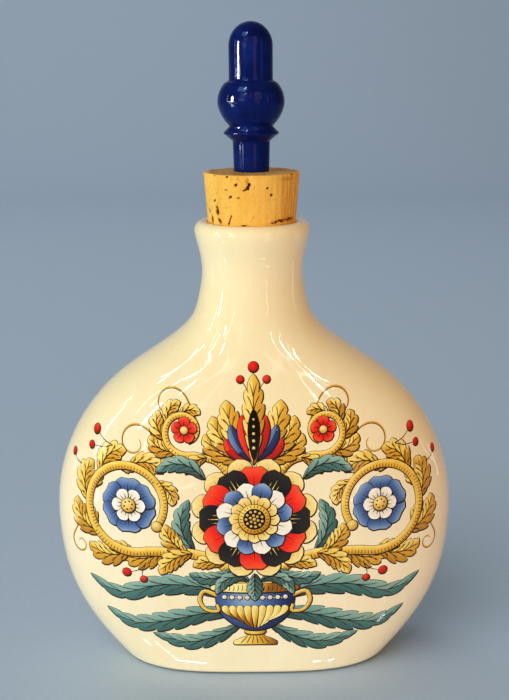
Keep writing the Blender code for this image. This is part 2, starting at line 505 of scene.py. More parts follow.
def ball(stops, centre, radius, metal=0.0):
    """A round body lit from the upper left."""
    spot = np.asarray(centre, float) + LIGHT_FROM * radius * 0.45

    def paint(places):
        t = np.hypot(*(places - spot).T) / (radius * 1.45)
        return np.column_stack([ramp(stops, 1.05 - t), np.full(len(places), metal)])

    return paint


def folded(stops, spine, width, metal=0.0, base=0.30, crease=0.32):
    """A leaf's two halves: one lit and one in shade, darker at its base."""
    spine = np.asarray(spine, float)
    side = left_of(headings(spine))

    def paint(places):
        d = places[:, None, :] - spine[None, :, :]
        near = np.argmin((d**2).sum(2), axis=1)
        off = (d[np.arange(len(places)), near] * side[near]).sum(1) / (width * 0.5)
        lit = np.sign(side[near] @ LIGHT_FROM)
        t = near / (len(spine) - 1)
        u = np.clip(off * lit, -1, 1)
        value = 0.56 + crease * np.sign(u) * (0.45 + 0.55 * np.abs(u))
        value = value - base * (1 - t) ** 2
        return np.column_stack([ramp(stops, value), np.full(len(places), metal)])

    return paint


def round_bar(stops, spine, width, metal=0.0):
    """A round stem, lit from the upper left."""
    spine = np.asarray(spine, float)
    side = left_of(headings(spine))
    lit = side @ LIGHT_FROM

    def paint(places):
        d = places[:, None, :] - spine[None, :, :]
        near = np.argmin((d**2).sum(2), axis=1)
        off = (d[np.arange(len(places)), near] * side[near]).sum(1) / (width * 0.5)
        return np.column_stack(
            [ramp(stops, 0.52 + 0.48 * off * lit[near]), np.full(len(places), metal)]
        )

    return paint


# ---- drawing ----------------------------------------------------------------
class Sheet:
    """Collects the painted shapes, lowest first."""

    def __init__(self):
        self.shapes = []
        self.side = 1

    def add(self, outline, paint):
        p = np.asarray(outline, float)
        keep = np.hypot(*(p - np.roll(p, 1, 0)).T) > 0.012
        p = p[keep]
        if len(p) < 3:
            return
        x, y = p.T
        area = 0.5 * np.sum(x * np.roll(y, -1) - np.roll(x, -1) * y)
        if abs(area) < 0.002:
            return
        if area < 0:
            p = p[::-1]
        self.shapes.append((p, paint))

    def side_of(self, points):
        p = np.array(points, float)
        p[..., 0] *= self.side
        return p

    def strip(self, left, right, paint, chunk=5):
        """A band between two paths, in short pieces that can't cross themselves."""
        for i in range(0, len(left) - 1, chunk):
            j = min(i + chunk, len(left) - 1)
            self.add(np.concatenate([right[i : j + 1], left[i : j + 1][::-1]]), paint)

    def line(self, path, width, paint=None, taper=(0.0, 0.0), step=0.52, ready=False):
        """A pen stroke; taper gives its width at each end as a share."""
        if not ready:
            path = even(smooth_curve(path), step)
        t = np.linspace(0, 1, len(path))
        rise = np.where(
            t < 0.5,
            taper[0] + (1 - taper[0]) * np.sin(np.clip(t * 2, 0, 1) * math.pi / 2),
            taper[1] + (1 - taper[1]) * np.sin(np.clip((1 - t) * 2, 0, 1) * math.pi / 2),
        )
        w = np.maximum(width * rise, 0.02)[:, None] * 0.5
        side = left_of(headings(path))
        self.strip(path + side * w, path - side * w, paint or flat(INK), chunk=6)

    def ink(self, outline, width=0.19, shade=0.60, colour=INK):
        """An ink line round a closed outline, heavier away from the light."""
        p = np.asarray(outline, float)
        x, y = p.T
        if np.sum(x * np.roll(y, -1) - np.roll(x, -1) * y) < 0:
            p = p[::-1]
        out = -left_of(headings(p, closed=True))
        w = width * (1 - shade * (out @ LIGHT_FROM))[:, None]
        outer = p + out * w
        paint = flat(colour)
        n = len(p)
        for i in range(n):
            j = (i + 1) % n
            quad = np.array([p[i], outer[i], outer[j], p[j]])
            sides = np.roll(quad, -1, 0) - quad
            after = np.roll(sides, -1, 0)
            if np.min(sides[:, 0] * after[:, 1] - sides[:, 1] * after[:, 0]) > 0:
                self.add(quad, paint)

    def dot(self, centre, radius, stops=GOLD, metal=GOLD_METAL, ink=0.17, count=14):
        a = np.linspace(0, 2 * math.pi, count, endpoint=False)
        ring = np.asarray(centre) + radius * np.stack([np.cos(a), np.sin(a)], axis=1)
        self.add(ring, ball(stops, centre, radius, metal))
        if ink:
            self.ink(ring, ink)

    def leaf(
        self,
        spine,
        width,
        stops,
        metal=0.0,
        lobes=0,
        depth=0.3,
        lean=0.5,
        belly=0.42,
        veins=None,
        ink=0.19,
        step=0.50,
        vein_width=0.16,
        one_side=0,
        rib=0.24,
        hatch=True,
    ):
        """A leaf or petal along a spine, with lobed edges and engraved veins."""
        spine = even(smooth_curve(spine, 6), 0.35)
        run = np.linspace(0, 1, len(spine))
        direct = headings(spine)
        normal = left_of(direct)
        length = np.hypot(*np.diff(spine, axis=0).T).sum()

        def edge(side, count):
            t = np.linspace(0.0, 1.0, count + 1)
            grow = np.where(
                t < belly,
                np.abs(np.sin(t / belly * math.pi / 2)) ** 0.8,
                np.abs(np.cos((t - belly) / (1 - belly) * math.pi / 2)) ** 0.75,
            )
            w = 0.5 * width * grow
            ahead = np.zeros_like(t)
            if lobes and one_side in (0, side):
                phase = (t * lobes) % 1.0
                bump = np.abs(np.sin(math.pi * phase)) ** 0.55
                fade = np.clip((1 - t) * lobes * 0.8, 0, 1) * np.clip(t * lobes * 1.5, 0, 1)
                w = w * (1 - depth * (1 - bump) * fade)
                ahead = lean * bump * fade * w * 0.45
            at = np.stack([np.interp(t, run, spine[:, k]) for k in (0, 1)], axis=1)
            nn = np.stack([np.interp(t, run, normal[:, k]) for k in (0, 1)], axis=1)
            dd = np.stack([np.interp(t, run, direct[:, k]) for k in (0, 1)], axis=1)
            return at + side * nn * np.maximum(w, 0.02)[:, None] + dd * ahead[:, None]

        count = max(8, int(length / step))
        if lobes:
            count = max(count, lobes * 5)
            count -= count % lobes
        one, two = edge(1, count), edge(-1, count)
        outline = np.concatenate([two[:-1], one[::-1][:-1]])
        self.add(outline, folded(stops, spine, width, metal))
        if ink:
            self.ink(outline, ink)
        if rib:
            cut = max(4, int(len(spine) * 0.9))
            self.line(spine[:cut], rib, taper=(1.0, 0.0), ready=True)
        veins = lobes if veins is None else veins
        for n in range(veins):
            t0 = (n + 0.15) / max(veins, 1) * 0.86
            t1 = min(t0 + 0.62 / max(veins, 1) + 0.05, 0.97)
            for side in (1, -1):
                g = t1 / belly if t1 < belly else 1.0
                g = (
                    math.sin(min(g, 1) * math.pi / 2) ** 0.8
                    if t1 < belly
                    else math.cos((t1 - belly) / (1 - belly) * math.pi / 2) ** 0.75
                )
                w = 0.5 * width * g * 0.80
                if w < 0.25:
                    continue
                a = np.array([np.interp(t0, run, spine[:, k]) for k in (0, 1)])
                b = np.array([np.interp(t1, run, spine[:, k]) for k in (0, 1)])
                nb = np.array([np.interp(t1, run, normal[:, k]) for k in (0, 1)])
                db = np.array([np.interp(t1, run, direct[:, k]) for k in (0, 1)])
                tip = b + side * nb * w + db * (lean * w * 0.35)
                mid = (a + tip) / 2 - side * nb * w * 0.10 + db * w * 0.12
                self.line([a, mid, tip], vein_width, taper=(0.9, 0.0), step=0.7)
                if hatch and w > 0.72:
                    for part in (0.36, 0.68):
                        lift = db * (0.50 - part * 0.35) * w
                        c = a + (tip - a) * 0.34 * (1 + part) * 0.7 + lift
                        e = a + (tip - a) * (0.62 + 0.26 * part) + lift
                        self.line([c, (c + e) / 2 - side * nb * w * 0.04, e], 0.11,
                                  flat(INK_SOFT), taper=(0.3, 0.0), step=0.8)
        return outline

    def stem(self, path, width, stops, metal=0.0, ink=0.17, step=0.44, ends=(1.0, 0.6)):
        path = even(np.asarray(path, float), step)
        t = np.linspace(0, 1, len(path))
        w = (width * (ends[0] + (ends[1] - ends[0]) * t))[:, None] * 0.5
        side = left_of(headings(path))
        left, right = path + side * w, path - side * w
        self.strip(left, right, round_bar(stops, path, width, metal), chunk=4)
        for edge, out in ((left, side), (right, -side)):
            weight = ink * (1 - 0.55 * (out @ LIGHT_FROM))[:, None]
            self.strip(edge, edge + out * weight, flat(INK), chunk=4)
        return path, w[:, 0] * 2

    def rings_on(self, path, width, start, count, gap, shade=0.5):
        """Short cross strokes along a stem, on its shaded side."""
        run = np.concatenate([[0], np.cumsum(np.hypot(*np.diff(path, axis=0).T))])
        side = left_of(headings(path))
        for n in range(count):
            want = start + n * gap
            if want > run[-1] - 0.4:
                break
            p = np.array([np.interp(want, run, path[:, k]) for k in (0, 1)])
            s = np.array([np.interp(want, run, side[:, k]) for k in (0, 1)])
            if s @ LIGHT_FROM > 0:
                s = -s
            w = np.interp(want, run, np.broadcast_to(width, len(path)))
            self.line(
                [p + s * w * 0.45, p + s * w * (0.45 - shade)], 0.13,
                taper=(1.0, 0.0), step=0.3,
            )


def flower(sheet, centre, petals, reach, width, stops, start=90.0, metal=0.0,
           inner=0.0, notch=0.0, strokes=3, ink=0.19, edge=None, belly=0.68,
           second=None, second_stroke=None):
    """A ring of petals round a centre, in one colour or two by turns."""
    centre = np.asarray(centre, float)
    first_stops = stops
    for n in range(petals):
        odd = second is not None and n % 2
        stops = second if odd else first_stops
        pen = flat(second_stroke) if odd and second_stroke else flat(INK)
        a = math.radians(start + 360.0 * n / petals)
        d = np.array([math.cos(a), math.sin(a)])
        s = np.array([-d[1], d[0]])
        t = np.linspace(0, 1, 15)
        grow = np.where(
            t < belly,
            0.32 + 0.68 * np.sin(t / belly * math.pi / 2) ** 1.4,
            np.abs(np.cos((t - belly) / (1 - belly) * math.pi / 2)) ** 0.6,
        )
        w = width * 0.5 * grow
        far = inner + (reach - inner) * t
        one = centre + np.outer(far, d) + np.outer(w, s)
        two = centre + np.outer(far, d) - np.outer(w, s)
        tip = centre + d * (reach - notch * (reach - inner))
        outline = np.concatenate([two[:-1], [tip], one[::-1][1:]])
        root, outer = centre + d * inner, centre + d * reach
        if edge:
            sheet.add(outline, flat(edge))
            mid = outline.mean(0)
            inside = mid + (outline - mid) * 0.80
            sheet.add(inside, across(stops, root, outer, metal))
        else:
            sheet.add(outline, across(stops, root, outer, metal))
        sheet.ink(outline, ink)
        for k in range(strokes):
            f = (k - (strokes - 1) / 2) / max(strokes, 1)
            far0, far1 = inner + 0.06 * (reach - inner), inner + (0.74 - 0.5 * abs(f)) * (reach - inner)
            p0 = centre + d * far0 + s * width * 0.28 * f
            p1 = centre + d * (far0 + far1) / 2 + s * width * 0.55 * f
            p2 = centre + d * far1 + s * width * 0.72 * f
            sheet.line([p0, p1, p2], 0.17, pen, taper=(0.9, 0.0), step=0.6)


def draw_print():
    sheet = Sheet()

    # ---- the low spray of long leaves -------------------------------------
    def teal_leaf(points, width, lobes=6, **more):
        sheet.leaf(
            sheet.side_of(points), width, TEAL, lobes=lobes, depth=0.26, lean=0.9,
            belly=0.46, **more,
        )

    for sheet.side in (1, -1):
        teal_leaf([(2.0, 16.4), (8.5, 20.0), (17, 20.4), (25, 18.0), (31.3, 20.6)], 4.2, 8)
        teal_leaf([(2.2, 12.6), (7, 9.6), (12.5, 8.0), (19.0, 9.6)], 3.6, 6)
        teal_leaf([(2.2, 14.4), (9, 14.6), (17, 12.4), (23, 11.6), (28.2, 14.0)], 4.4, 8)

    # ---- scrolls ---------------------------------------------------------
    def gold_leaf(spine, width, lobes=5, **more):
        options = {"depth": 0.34, "lean": 1.0, "metal": GOLD_METAL, "belly": 0.40}
        options.update(more)
        sheet.leaf(sheet.side_of(spine), width, GOLD, lobes=lobes, **options)

    def sprout(path, share, turn, length, width, bend, lobes=5, stops=None):
        """A leaf that grows out of a path at a share of its length."""
        at = int(share * (len(path) - 1))
        d = headings(path)[at]
        heading = math.degrees(math.atan2(d[1], d[0])) + turn
        gold_leaf(curl(path[at], heading, length, bend), width, lobes)

    eye_place = (22.6, 35.6)
    for sheet.side in (1, -1):
        # tendrils behind everything
        for lead, centre, r0, r1, a0, a1 in (
            ([(16.6, 43.6), (17.3, 46.0)], (21.3, 47.0), 3.9, 1.0, 172, -215),
            ([(31.8, 31.4), (33.9, 29.8)], (33.0, 26.6), 2.3, 0.6, 40, -330),
            ([(9.6, 50.6), (10.8, 53.4)], (14.8, 54.0), 3.3, 0.8, 158, -230),
        ):
            turn = spiral(centre, r0, r1, a0, a1, 44)
            path = np.concatenate([smooth_curve(lead, 5)[:-1], turn])
            path = even(path, 0.33)
            sheet.line(sheet.side_of(path), 0.36, flat(GOLD[1], GOLD_METAL), taper=(1.0, 0.5), ready=True)
            sheet.line(sheet.side_of(path - (0.05, 0.15)), 0.15, taper=(0.8, 0.2), ready=True)

        # the big scroll: its leaves first, then its stem
        big = even(
            np.concatenate(
                [
                    smooth_curve([(2.2, 20.4), (6.2, 25.2), (11.6, 27.0), (17.0, 27.2)], 10)[:-1],
                    spiral(eye_place, 9.2, 6.3, -112, 215, 80),
                ]
            ),
            0.4,
        )
        teal_leaf([(10.8, 27.4), (12.6, 30.4), (13.0, 33.8), (11.6, 37.2)], 3.2, 5)
        for share, turn, length, width, bend in (
            (0.27, -34, 8.2, 4.4, 66),
            (0.375, -34, 8.8, 4.6, 74),
            (0.475, -32, 8.6, 4.6, 80),
            (0.575, -32, 8.2, 4.4, 84),
            (0.675, -34, 7.8, 4.2, 84),
            (0.775, -34, 7.0, 3.8, 84),
            (0.865, -32, 5.6, 3.0, 80),
        ):
            sprout(big, share, turn, length, width, bend)
        for share, turn, length, width, bend in (
            (0.36, 26, 4.8, 2.5, -60),
            (0.50, 26, 4.4, 2.4, -60),
            (0.62, 26, 4.0, 2.2, -60),
            (0.74, 26, 3.6, 2.0, -60),
        ):
            sprout(big, share, turn, length, width, bend, 4)
        path, widths = sheet.stem(sheet.side_of(big), 1.9, GOLD, GOLD_METAL, ends=(1.0, 0.6))
        sheet.rings_on(path, widths, 1.2, 110, 0.62)
        end = sheet.side_of(big[-1])
        sheet.dot(end, 0.95, GOLD_PALE, GOLD_METAL, ink=0.19, count=16)
        # sheath leaves at its first bend
        sprout(big, 0.20, 20, 7.0, 3.6, 62)
        sprout(big, 0.19, -22, 7.6, 3.8, -60)
        sprout(big, 0.09, -20, 5.6, 2.9, -58, 4)
        sprout(big, 0.10, 22, 5.0, 2.6, 62, 4)

        # the upper small scroll with its berry
        upper = even(
            np.concatenate(
                [
                    smooth_curve([(3.6, 41.0), (6.4, 44.2), (10.0, 45.2)], 10)[:-1],
                    spiral((12.2, 49.4), 4.4, 1.9, -112, 250, 60),
                ]
            ),
            0.35,
        )
        for share, turn, length, width, bend in (
            (0.34, -36, 5.8, 3.1, 70),
            (0.44, -34, 5.8, 3.1, 78),
            (0.54, -34, 5.4, 2.9, 84),
            (0.64, -34, 4.8, 2.6, 86),
            (0.74, -34, 4.0, 2.2, 88),
        ):
            sprout(upper, share, turn, length, width, bend, 4)
        path, widths = sheet.stem(sheet.side_of(upper), 1.3, GOLD, GOLD_METAL, ends=(1.0, 0.55))
        sheet.rings_on(path, widths, 1.0, 60, 0.6)
        sprout(upper, 0.24, -22, 5.0, 2.6, -66, 4)
        flower(sheet, sheet.side_of((12.2, 49.6)), 5, 2.3, 1.9, RED, start=90, inner=0.3,
               strokes=1, ink=0.16)
        sheet.dot(sheet.side_of((12.2, 49.6)), 0.68, GOLD_PALE, GOLD_METAL, ink=0.16, count=14)

        # leaves round the middle flower
        teal_leaf([(8.6, 41.0), (11.2, 43.2), (14.4, 43.6), (17.4, 42.2)], 3.0, 5)
        teal_leaf([(3.6, 24.4), (5.8, 22.5), (8.8, 22.0), (11.8, 23.0)], 2.7, 5)
        teal_leaf([(1.6, 44.6), (4.4, 46.8), (6.8, 47.0), (9.0, 45.6)], 2.4, 4)

        # the flower in the eye of the big scroll
        eye = sheet.side_of(eye_place)
        flower(sheet, eye, 6, 5.3, 4.7, NAVY, start=90, inner=0.8, notch=0.10, strokes=5)
        flower(sheet, eye, 6, 3.2, 2.3, WHITE, start=60, inner=0.6, strokes=2, ink=0.16)
        sheet.dot(eye, 1.3, GOLD_PALE, GOLD_METAL, ink=0.20, count=22)
        for n in range(6):
            a = math.radians(60 * n + 15)
            sheet.dot(eye + 0.76 * np.array([math.cos(a), math.sin(a)]), 0.18, [INK, INK], 0, ink=0, count=7)

        # sprays of berries
        for path, tip, size in (
            ([(19.6, 24.6), (21.0, 23.2), (22.6, 22.6)], (23.4, 22.5), 0.8),
            ([(19.6, 24.8), (20.4, 22.6), (20.3, 21.9)], (20.2, 21.4), 0.62),
            ([(25.6, 46.0), (27.4, 46.6), (28.8, 47.6)], (29.5, 48.2), 0.8),
            ([(25.6, 46.0), (27.6, 45.4), (29.6, 45.4)], (30.4, 45.4), 0.62),
            ([(32.6, 41.6), (34.0, 42.0), (34.8, 42.8)], (35.2, 43.3), 0.62),
        ):
            sheet.line(sheet.side_of(path), 0.18, taper=(1.0, 0.6), step=0.4)
            sheet.dot(sheet.side_of(tip), size, RED, 0.0, ink=0.18, count=16)

    # ---- the palmette at the top ------------------------------------------
    sheet.side = 1
    for heading, length, bend, width in (
        (8, 9.2, 58, 3.5), (32, 10.4, 46, 3.7), (56, 11.6, 30, 3.9),
    ):
        for sheet.side in (1, -1):
            spine = curl((1.4 - heading * 0.012, 44.2), heading, length, bend)
            sheet.leaf(
                sheet.side_of(spine), width, GOLD, GOLD_METAL, lobes=5, depth=0.30,
                lean=1.0, belly=0.62,
            )
    for sheet.side in (1, -1):
        for heading, length, bend, width in ((20, 6.0, 52, 1.9), (46, 7.4, 34, 2.0), (70, 8.2, 18, 2.1)):
            spine = curl((0.9 - heading * 0.008, 44.4), heading, length, bend)
            sheet.leaf(
                sheet.side_of(spine), width, RED if heading != 46 else NAVY, lobes=0,
                belly=0.6, veins=0, rib=0.13,
            )
    sheet.side = 1
    sheet.leaf([(0, 43.6), (0, 49), (0, 54.4), (0, 59.4)], 3.9, GOLD, GOLD_METAL,
               lobes=6, depth=0.30, lean=1.0, belly=0.55)
    sheet.leaf([(0, 44.4), (0, 48), (0, 53.4)], 1.9, BLACK + [BLACK[1]], 0.0, lobes=0,
               belly=0.6, veins=0, rib=0)
    for n in range(5):
        sheet.dot((0, 46.6 + 1.25 * n), 0.30 - 0.02 * n, GOLD_PALE, GOLD_METAL, ink=0, count=9)
    for side in (1, -1):
        sheet.dot((side * 2.3, 58.4), 0.62, RED, 0.0, ink=0.16)
        sheet.line([(side * 0.9, 56.2), (side * 1.5, 57.4), (side * 2.0, 58.0)], 0.16, taper=(1, 0.6))
    sheet.dot((0, 60.5), 0.85, RED, 0.0, ink=0.18, count=16)

    # ---- the urn ---------------------------------------------------------------
    def symmetric(half):
        half = np.array(half, float)
        return np.concatenate([half, half[::-1] * (-1, 1)])

    foot = symmetric([(3.9, 7.6), (4.0, 8.3), (3.1, 8.9), (1.7, 9.5), (1.2, 10.5)])
    foot = even(np.concatenate([foot, foot[:1]]), 0.4)[:-1]
    sheet.add(foot, across(GOLD[::-1], (-3.4, 9), (3.6, 8), GOLD_METAL))
    sheet.ink(foot, 0.21)
    for x in (-2.6, -1.5, -0.5, 0.5, 1.5, 2.6):
        sheet.line([(x, 7.9), (x * 0.75, 8.8), (x * 0.42, 9.9)], 0.17, taper=(1, 0.2))
    knop = symmetric([(0.0, 9.9), (1.2, 10.0), (1.75, 10.6), (1.2, 11.2), (0.0, 11.3)])[1:-1]
    knop = smooth_curve([(0, 9.9), (1.5, 10.1), (1.9, 10.6), (1.5, 11.1), (0, 11.3),
                         (-1.5, 11.1), (-1.9, 10.6), (-1.5, 10.1)], 4, closed=True)
    sheet.add(knop, ball(GOLD, (0, 10.6), 1.7, GOLD_METAL))
    sheet.ink(knop, 0.21)
    bowl = smooth_curve(
        [(0, 10.9), (2.6, 11.5), (5.4, 13.6), (6.9, 16.6), (6.7, 19.4), (3.4, 19.9),
         (0, 20.0), (-3.4, 19.9), (-6.7, 19.4), (-6.9, 16.6), (-5.4, 13.6), (-2.6, 11.5)],
        7, closed=True,
    )
    sheet.add(bowl, ball(NAVY, (0, 15.4), 6.4))
    sheet.ink(bowl, 0.24)
    for n in range(-4, 5):  # gadroons
        x = n * 1.36
        foot_x = n * 0.55
        outline = []
        for t in np.linspace(0, 1, 11):
            z = 11.45 + 4.3 * t + 0.10 * n * n * (1 - t) * 0.9
            mid = foot_x + (x - foot_x) * math.sin(t * math.pi / 2)
            w = 0.12 + 0.50 * math.sin(t * math.pi / 2)
            outline.append((mid, z, w))
        o = np.array(outline)
        cap_z = o[-1, 1] + 0.62 * np.sin(np.linspace(0, math.pi, 8)[1:-1])
        cap_x = o[-1, 0] + o[-1, 2] * np.cos(np.linspace(0, math.pi, 8)[1:-1])
        shape = np.concatenate(
            [
                np.stack([o[:, 0] + o[:, 2], o[:, 1]], 1),
                np.stack([cap_x, cap_z], 1),
                np.stack([o[::-1, 0] - o[::-1, 2], o[::-1, 1]], 1),
            ]
        )
        sheet.add(shape, across(GOLD[::-1], (x - 0.6, 14), (x + 0.75, 13.6), GOLD_METAL))
        sheet.ink(shape, 0.15)
    band_low, band_high = 17.1, 18.9
    for n in range(-4, 5):
        sheet.dot((n * 1.38, 18.0 + 0.012 * n * n), 0.42, WHITE, 0.0, ink=0.14, count=12)
        if n < 4:
            sheet.dot((n * 1.38 + 0.69, 18.0), 0.16, GOLD_PALE, GOLD_METAL, ink=0, count=7)
    rim = smooth_curve(
        [(-7.6, 19.7), (-7.5, 20.6), (-4.0, 20.95), (0, 21.05), (4.0, 20.95), (7.5, 20.6),
         (7.6, 19.7), (4, 19.25), (0, 19.15), (-4, 19.25)], 7, closed=True,
    )
    sheet.add(rim, across(GOLD[::-1], (-2.0, 21.1), (2.0, 19.0), GOLD_METAL))
    sheet.ink(rim, 0.21)
    for n in range(-9, 10):
        x = n * 0.78
        sheet.line([(x, 19.5), (x + 0.18, 20.1), (x + 0.05, 20.7)], 0.15, taper=(1, 0.2))
    for side in (1, -1):  # handles
        handle = [(6.9 * side, 18.6), (9.2 * side, 19.4), (10.0 * side, 17.4),
                  (8.8 * side, 15.4), (6.7 * side, 15.2), (6.9 * side, 16.6)]
        path, w = sheet.stem(smooth_curve(handle, 8), 0.75, GOLD, GOLD_METAL, ends=(1, 0.7))

    # ---- leaves that fall over the rim, and the red flowers beside ----------
    for sheet.side in (1, -1):
        teal_leaf([(1.0, 21.6), (3.0, 22.4), (5.6, 21.4), (7.0, 18.8)], 2.5, 5)
    sheet.side = 1
    sheet.leaf([(0, 23.0), (0, 20.6), (0, 17.4)], 2.9, TEAL, lobes=5, depth=0.28, lean=0.9)

    # ---- the middle flower ---------------------------------------------------
    middle = np.array([0.0, 33.6])
    flower(sheet, middle, 12, 11.4, 4.3, GOLD_PALE, start=90 + 15, metal=GOLD_METAL, inner=6.0, strokes=3)
    flower(sheet, middle, 12, 10.2, 5.3, RED, start=90, inner=2.6, notch=0.08, strokes=5,
           second=BLACK + [linear(46, 40, 36)], second_stroke=GOLD[2])
    flower(sheet, middle, 12, 6.9, 3.4, WHITE, start=90 + 15, inner=2.2, strokes=3,
           second=NAVY, second_stroke=None)
    flower(sheet, middle, 12, 4.5, 2.2, GOLD_PALE, start=90, inner=1.6, strokes=1, metal=GOLD_METAL, ink=0.16)
    sheet.dot(middle, 2.75, GOLD, GOLD_METAL, ink=0.18, count=40)
    sheet.dot(middle, 2.0, BLACK + [BLACK[1]], 0.0, ink=0, count=30)
    for ring, count in ((1.45, 11), (0.72, 6)):
        for n in range(count):
            a = 2 * math.pi * n / count + ring
            sheet.dot(middle + ring * np.array([math.cos(a), math.sin(a)]), 0.25, GOLD_PALE,
                      GOLD_METAL, ink=0, count=9)
    sheet.dot(middle, 0.3, GOLD_PALE, GOLD_METAL, ink=0, count=9)
    for n in range(24):
        a = 2 * math.pi * n / 24
        sheet.line([middle + 2.1 * np.array([math.cos(a), math.sin(a)]),
                    middle + 2.6 * np.array([math.cos(a), math.sin(a)])], 0.14, taper=(1, 0.5), step=0.25)
    return sheet.shapes


# printed design: end


def build_flask(materials):
    rows = flask_rings()
    z, a, b, p = (np.array([r[k] for r in rows]) for k in range(4))
    zone = [r[4] for r in rows]
    qx, qy, quarter_length = quarter_sections(z, a, b, p, QUARTER)
    fx, fy = full_sections(qx, qy)
    points = np.stack([fx, fy, np.repeat(z[:, None], SEGMENTS, 1)], axis=2)
    normals = grid_normals(points)
    # the grid runs up the inside and down the outside, so one side serves both
    outer = [
        i
        for i, r in enumerate(rows)
        if r[4] == "outside" and FOOT_EDGE - 1e-6 <= r[0] <= FLASK_TOP - LIP_DROP
    ]
    outer = [i for i in outer if i > len(rows) // 4]
    check = normals[outer[60], 0]
    if check[0] < 0:
        normals = -normals
    for i in outer:
        normals[i] = wall_normal(points[i, :, 0], points[i, :, 1], points[i, :, 2])

    verts = [points.reshape(-1, 3)]
    norms = [normals.reshape(-1, 3)]
    count = len(rows) * SEGMENTS

    # rings and columns that the printed front takes over
    inside_print = [i for i in outer if PRINT_LOW <= z[i] <= PRINT_HIGH]
    first, last = min(inside_print), max(inside_print)  # downwards
    left, right = 3 * QUARTER - PRINT_COLUMNS, 3 * QUARTER + PRINT_COLUMNS

    # a map of the skin: its front, back and both halves of the inside, each laid
    # out by the length along its sections and the run along its profile
    run = np.concatenate([[0.0], np.cumsum(np.hypot(np.diff(z), np.diff(b)))])
    lip = max(i for i in range(len(rows)) if zone[i] == "inside")
    fall = z[outer][::-1], run[outer][::-1]
    last_run = run[-1] + b[-1]
    charts = {
        "front": (0.5, 0.49, (run[lip], np.interp(64, *fall), np.interp(2, *fall), last_run),
                  (0.995, 0.935, 0.345, 0.31)),
        "back": (0.23, 0.22, (run[lip], last_run), (0.295, 0.005)),
        "inside front": (0.595, 0.13, (-b[0], run[lip]), (0.005, 0.295)),
        "inside back": (0.865, 0.13, (-b[0], run[lip]), (0.005, 0.295)),
    }

    def on_map(chart, s, r):
        middle, reach, at, to = charts[chart]
        return np.stack([middle + reach * s / 44.5 + 0 * r, np.interp(r, at, to)], -1)

    def columns_on_map(i, column, inside, front):
        chart = ("inside " if inside else "") + ("front" if front else "back")
        middle = 3 * QUARTER if front else QUARTER
        return on_map(chart, (column - middle) * quarter_length[i] / QUARTER, run[i])

    faces, slots, uvs = [], [], []
    slot_of = {"inside": 2, "outside": 0, "foot": 3, "recess": 0}
    for i in range(len(rows) - 1):
        slot = slot_of[zone[i + 1]] if zone[i + 1] != "inside" else 2
        for j in range(SEGMENTS):
            if first <= i < last and left <= j < right:
                continue
            k = (j + 1) % SEGMENTS
            faces.append(
                (
                    i * SEGMENTS + k,
                    i * SEGMENTS + j,
                    (i + 1) * SEGMENTS + j,
                    (i + 1) * SEGMENTS + k,
                )
            )
            slots.append(slot)
            part = (zone[i + 1] == "inside", j >= 2 * QUARTER)
            uvs.append(
                [
                    columns_on_map(i, j + 1, *part),
                    columns_on_map(i, j, *part),
                    columns_on_map(i + 1, j, *part),
                    columns_on_map(i + 1, j + 1, *part),
                ]
            )
    # the ends close with a fan to a middle point
    for i, flip in ((0, False), (len(rows) - 1, True)):
        verts.append(np.array([[0.0, 0.0, z[i]]]))
        norms.append(np.array([[0.0, 0.0, -1.0 if flip else 1.0]]))
        for j in range(SEGMENTS):
            k = (j + 1) % SEGMENTS
            ring = (i * SEGMENTS + j, i * SEGMENTS + k)
            faces.append((ring[1], ring[0], count) if flip else (*ring, count))
            slots.append(0 if flip else 2)
            part = (not flip, j >= 2 * QUARTER)
            chart = ("" if flip else "inside ") + ("front" if part[1] else "back")
            end = on_map(chart, 0.0, last_run if flip else -b[0])
            one, two = columns_on_map(i, j, *part), columns_on_map(i, j + 1, *part)
            uvs.append([two, one, end] if flip else [one, two, end])
        count += 1

    # the printed front: the wall's own grid and the painted shapes, as one plane map
    tables = surface_tables()
    grid_id = {}
    flat_points = []
    for i in range(first, last + 1):
        for j in range(left, right + 1):
            grid_id[len(flat_points)] = i * SEGMENTS + j
            flat_points.append(
                ((j - 3 * QUARTER) * quarter_length[i] / QUARTER, z[i])
            )
    across = right - left + 1
    down = last - first + 1
    border = (
        [j for j in range(across)]
        + [i * across + across - 1 for i in range(1, down)]
        + [(down - 1) * across + j for j in range(across - 2, -1, -1)]
        + [i * across for i in range(down - 2, 0, -1)]
    )
    # z falls with i, so the border above runs clockwise in (s, z)
    rim = list(reversed(border))
    shapes = draw_print()
    polygons = [rim]
    paints = [None]
    for outline, paint in shapes:
        start = len(flat_points)
        flat_points.extend((float(q[0]), float(q[1])) for q in outline)
        polygons.append(list(range(start, start + len(outline))))
        paints.append(paint)
    out_points, _, out_faces, from_points, _, from_faces = delaunay_2d_cdt(
        [Vector(q) for q in flat_points], [], polygons, 0, 1e-5, True
    )
    where = np.array([(q.x, q.y) for q in out_points])
    index = np.full(len(out_points), -1, int)
    for n, sources in enumerate(from_points):
        for source in sources:
            if source in grid_id:
                index[n] = grid_id[source]
                break
    fresh = np.nonzero(index < 0)[0]
    used = np.zeros(len(out_points), bool)
    for face, sources in zip(out_faces, from_faces):
        if 0 in sources:
            used[list(face)] = True
    fresh = fresh[used[fresh]]
    spots, spot_normals = on_wall(where[fresh, 0], where[fresh, 1], tables)
    index[fresh] = count + np.arange(len(fresh))
    verts.append(spots)
    norms.append(spot_normals)
    count += len(fresh)

    print_from = len(faces)
    painted, corners = [], []
    for face, sources in zip(out_faces, from_faces):
        if 0 not in sources:
            continue
        corner = [index[n] for n in face]
        if len(set(corner)) < len(corner):
            continue
        faces.append(tuple(int(c) for c in corner))
        top = max(sources)
        painted.append(top)
        corners.append(face)
        slots.append(0 if top == 0 else 1)
        at = where[list(face)]
        uvs.append(on_map("front", at[:, 0], np.interp(at[:, 1], *fall)))

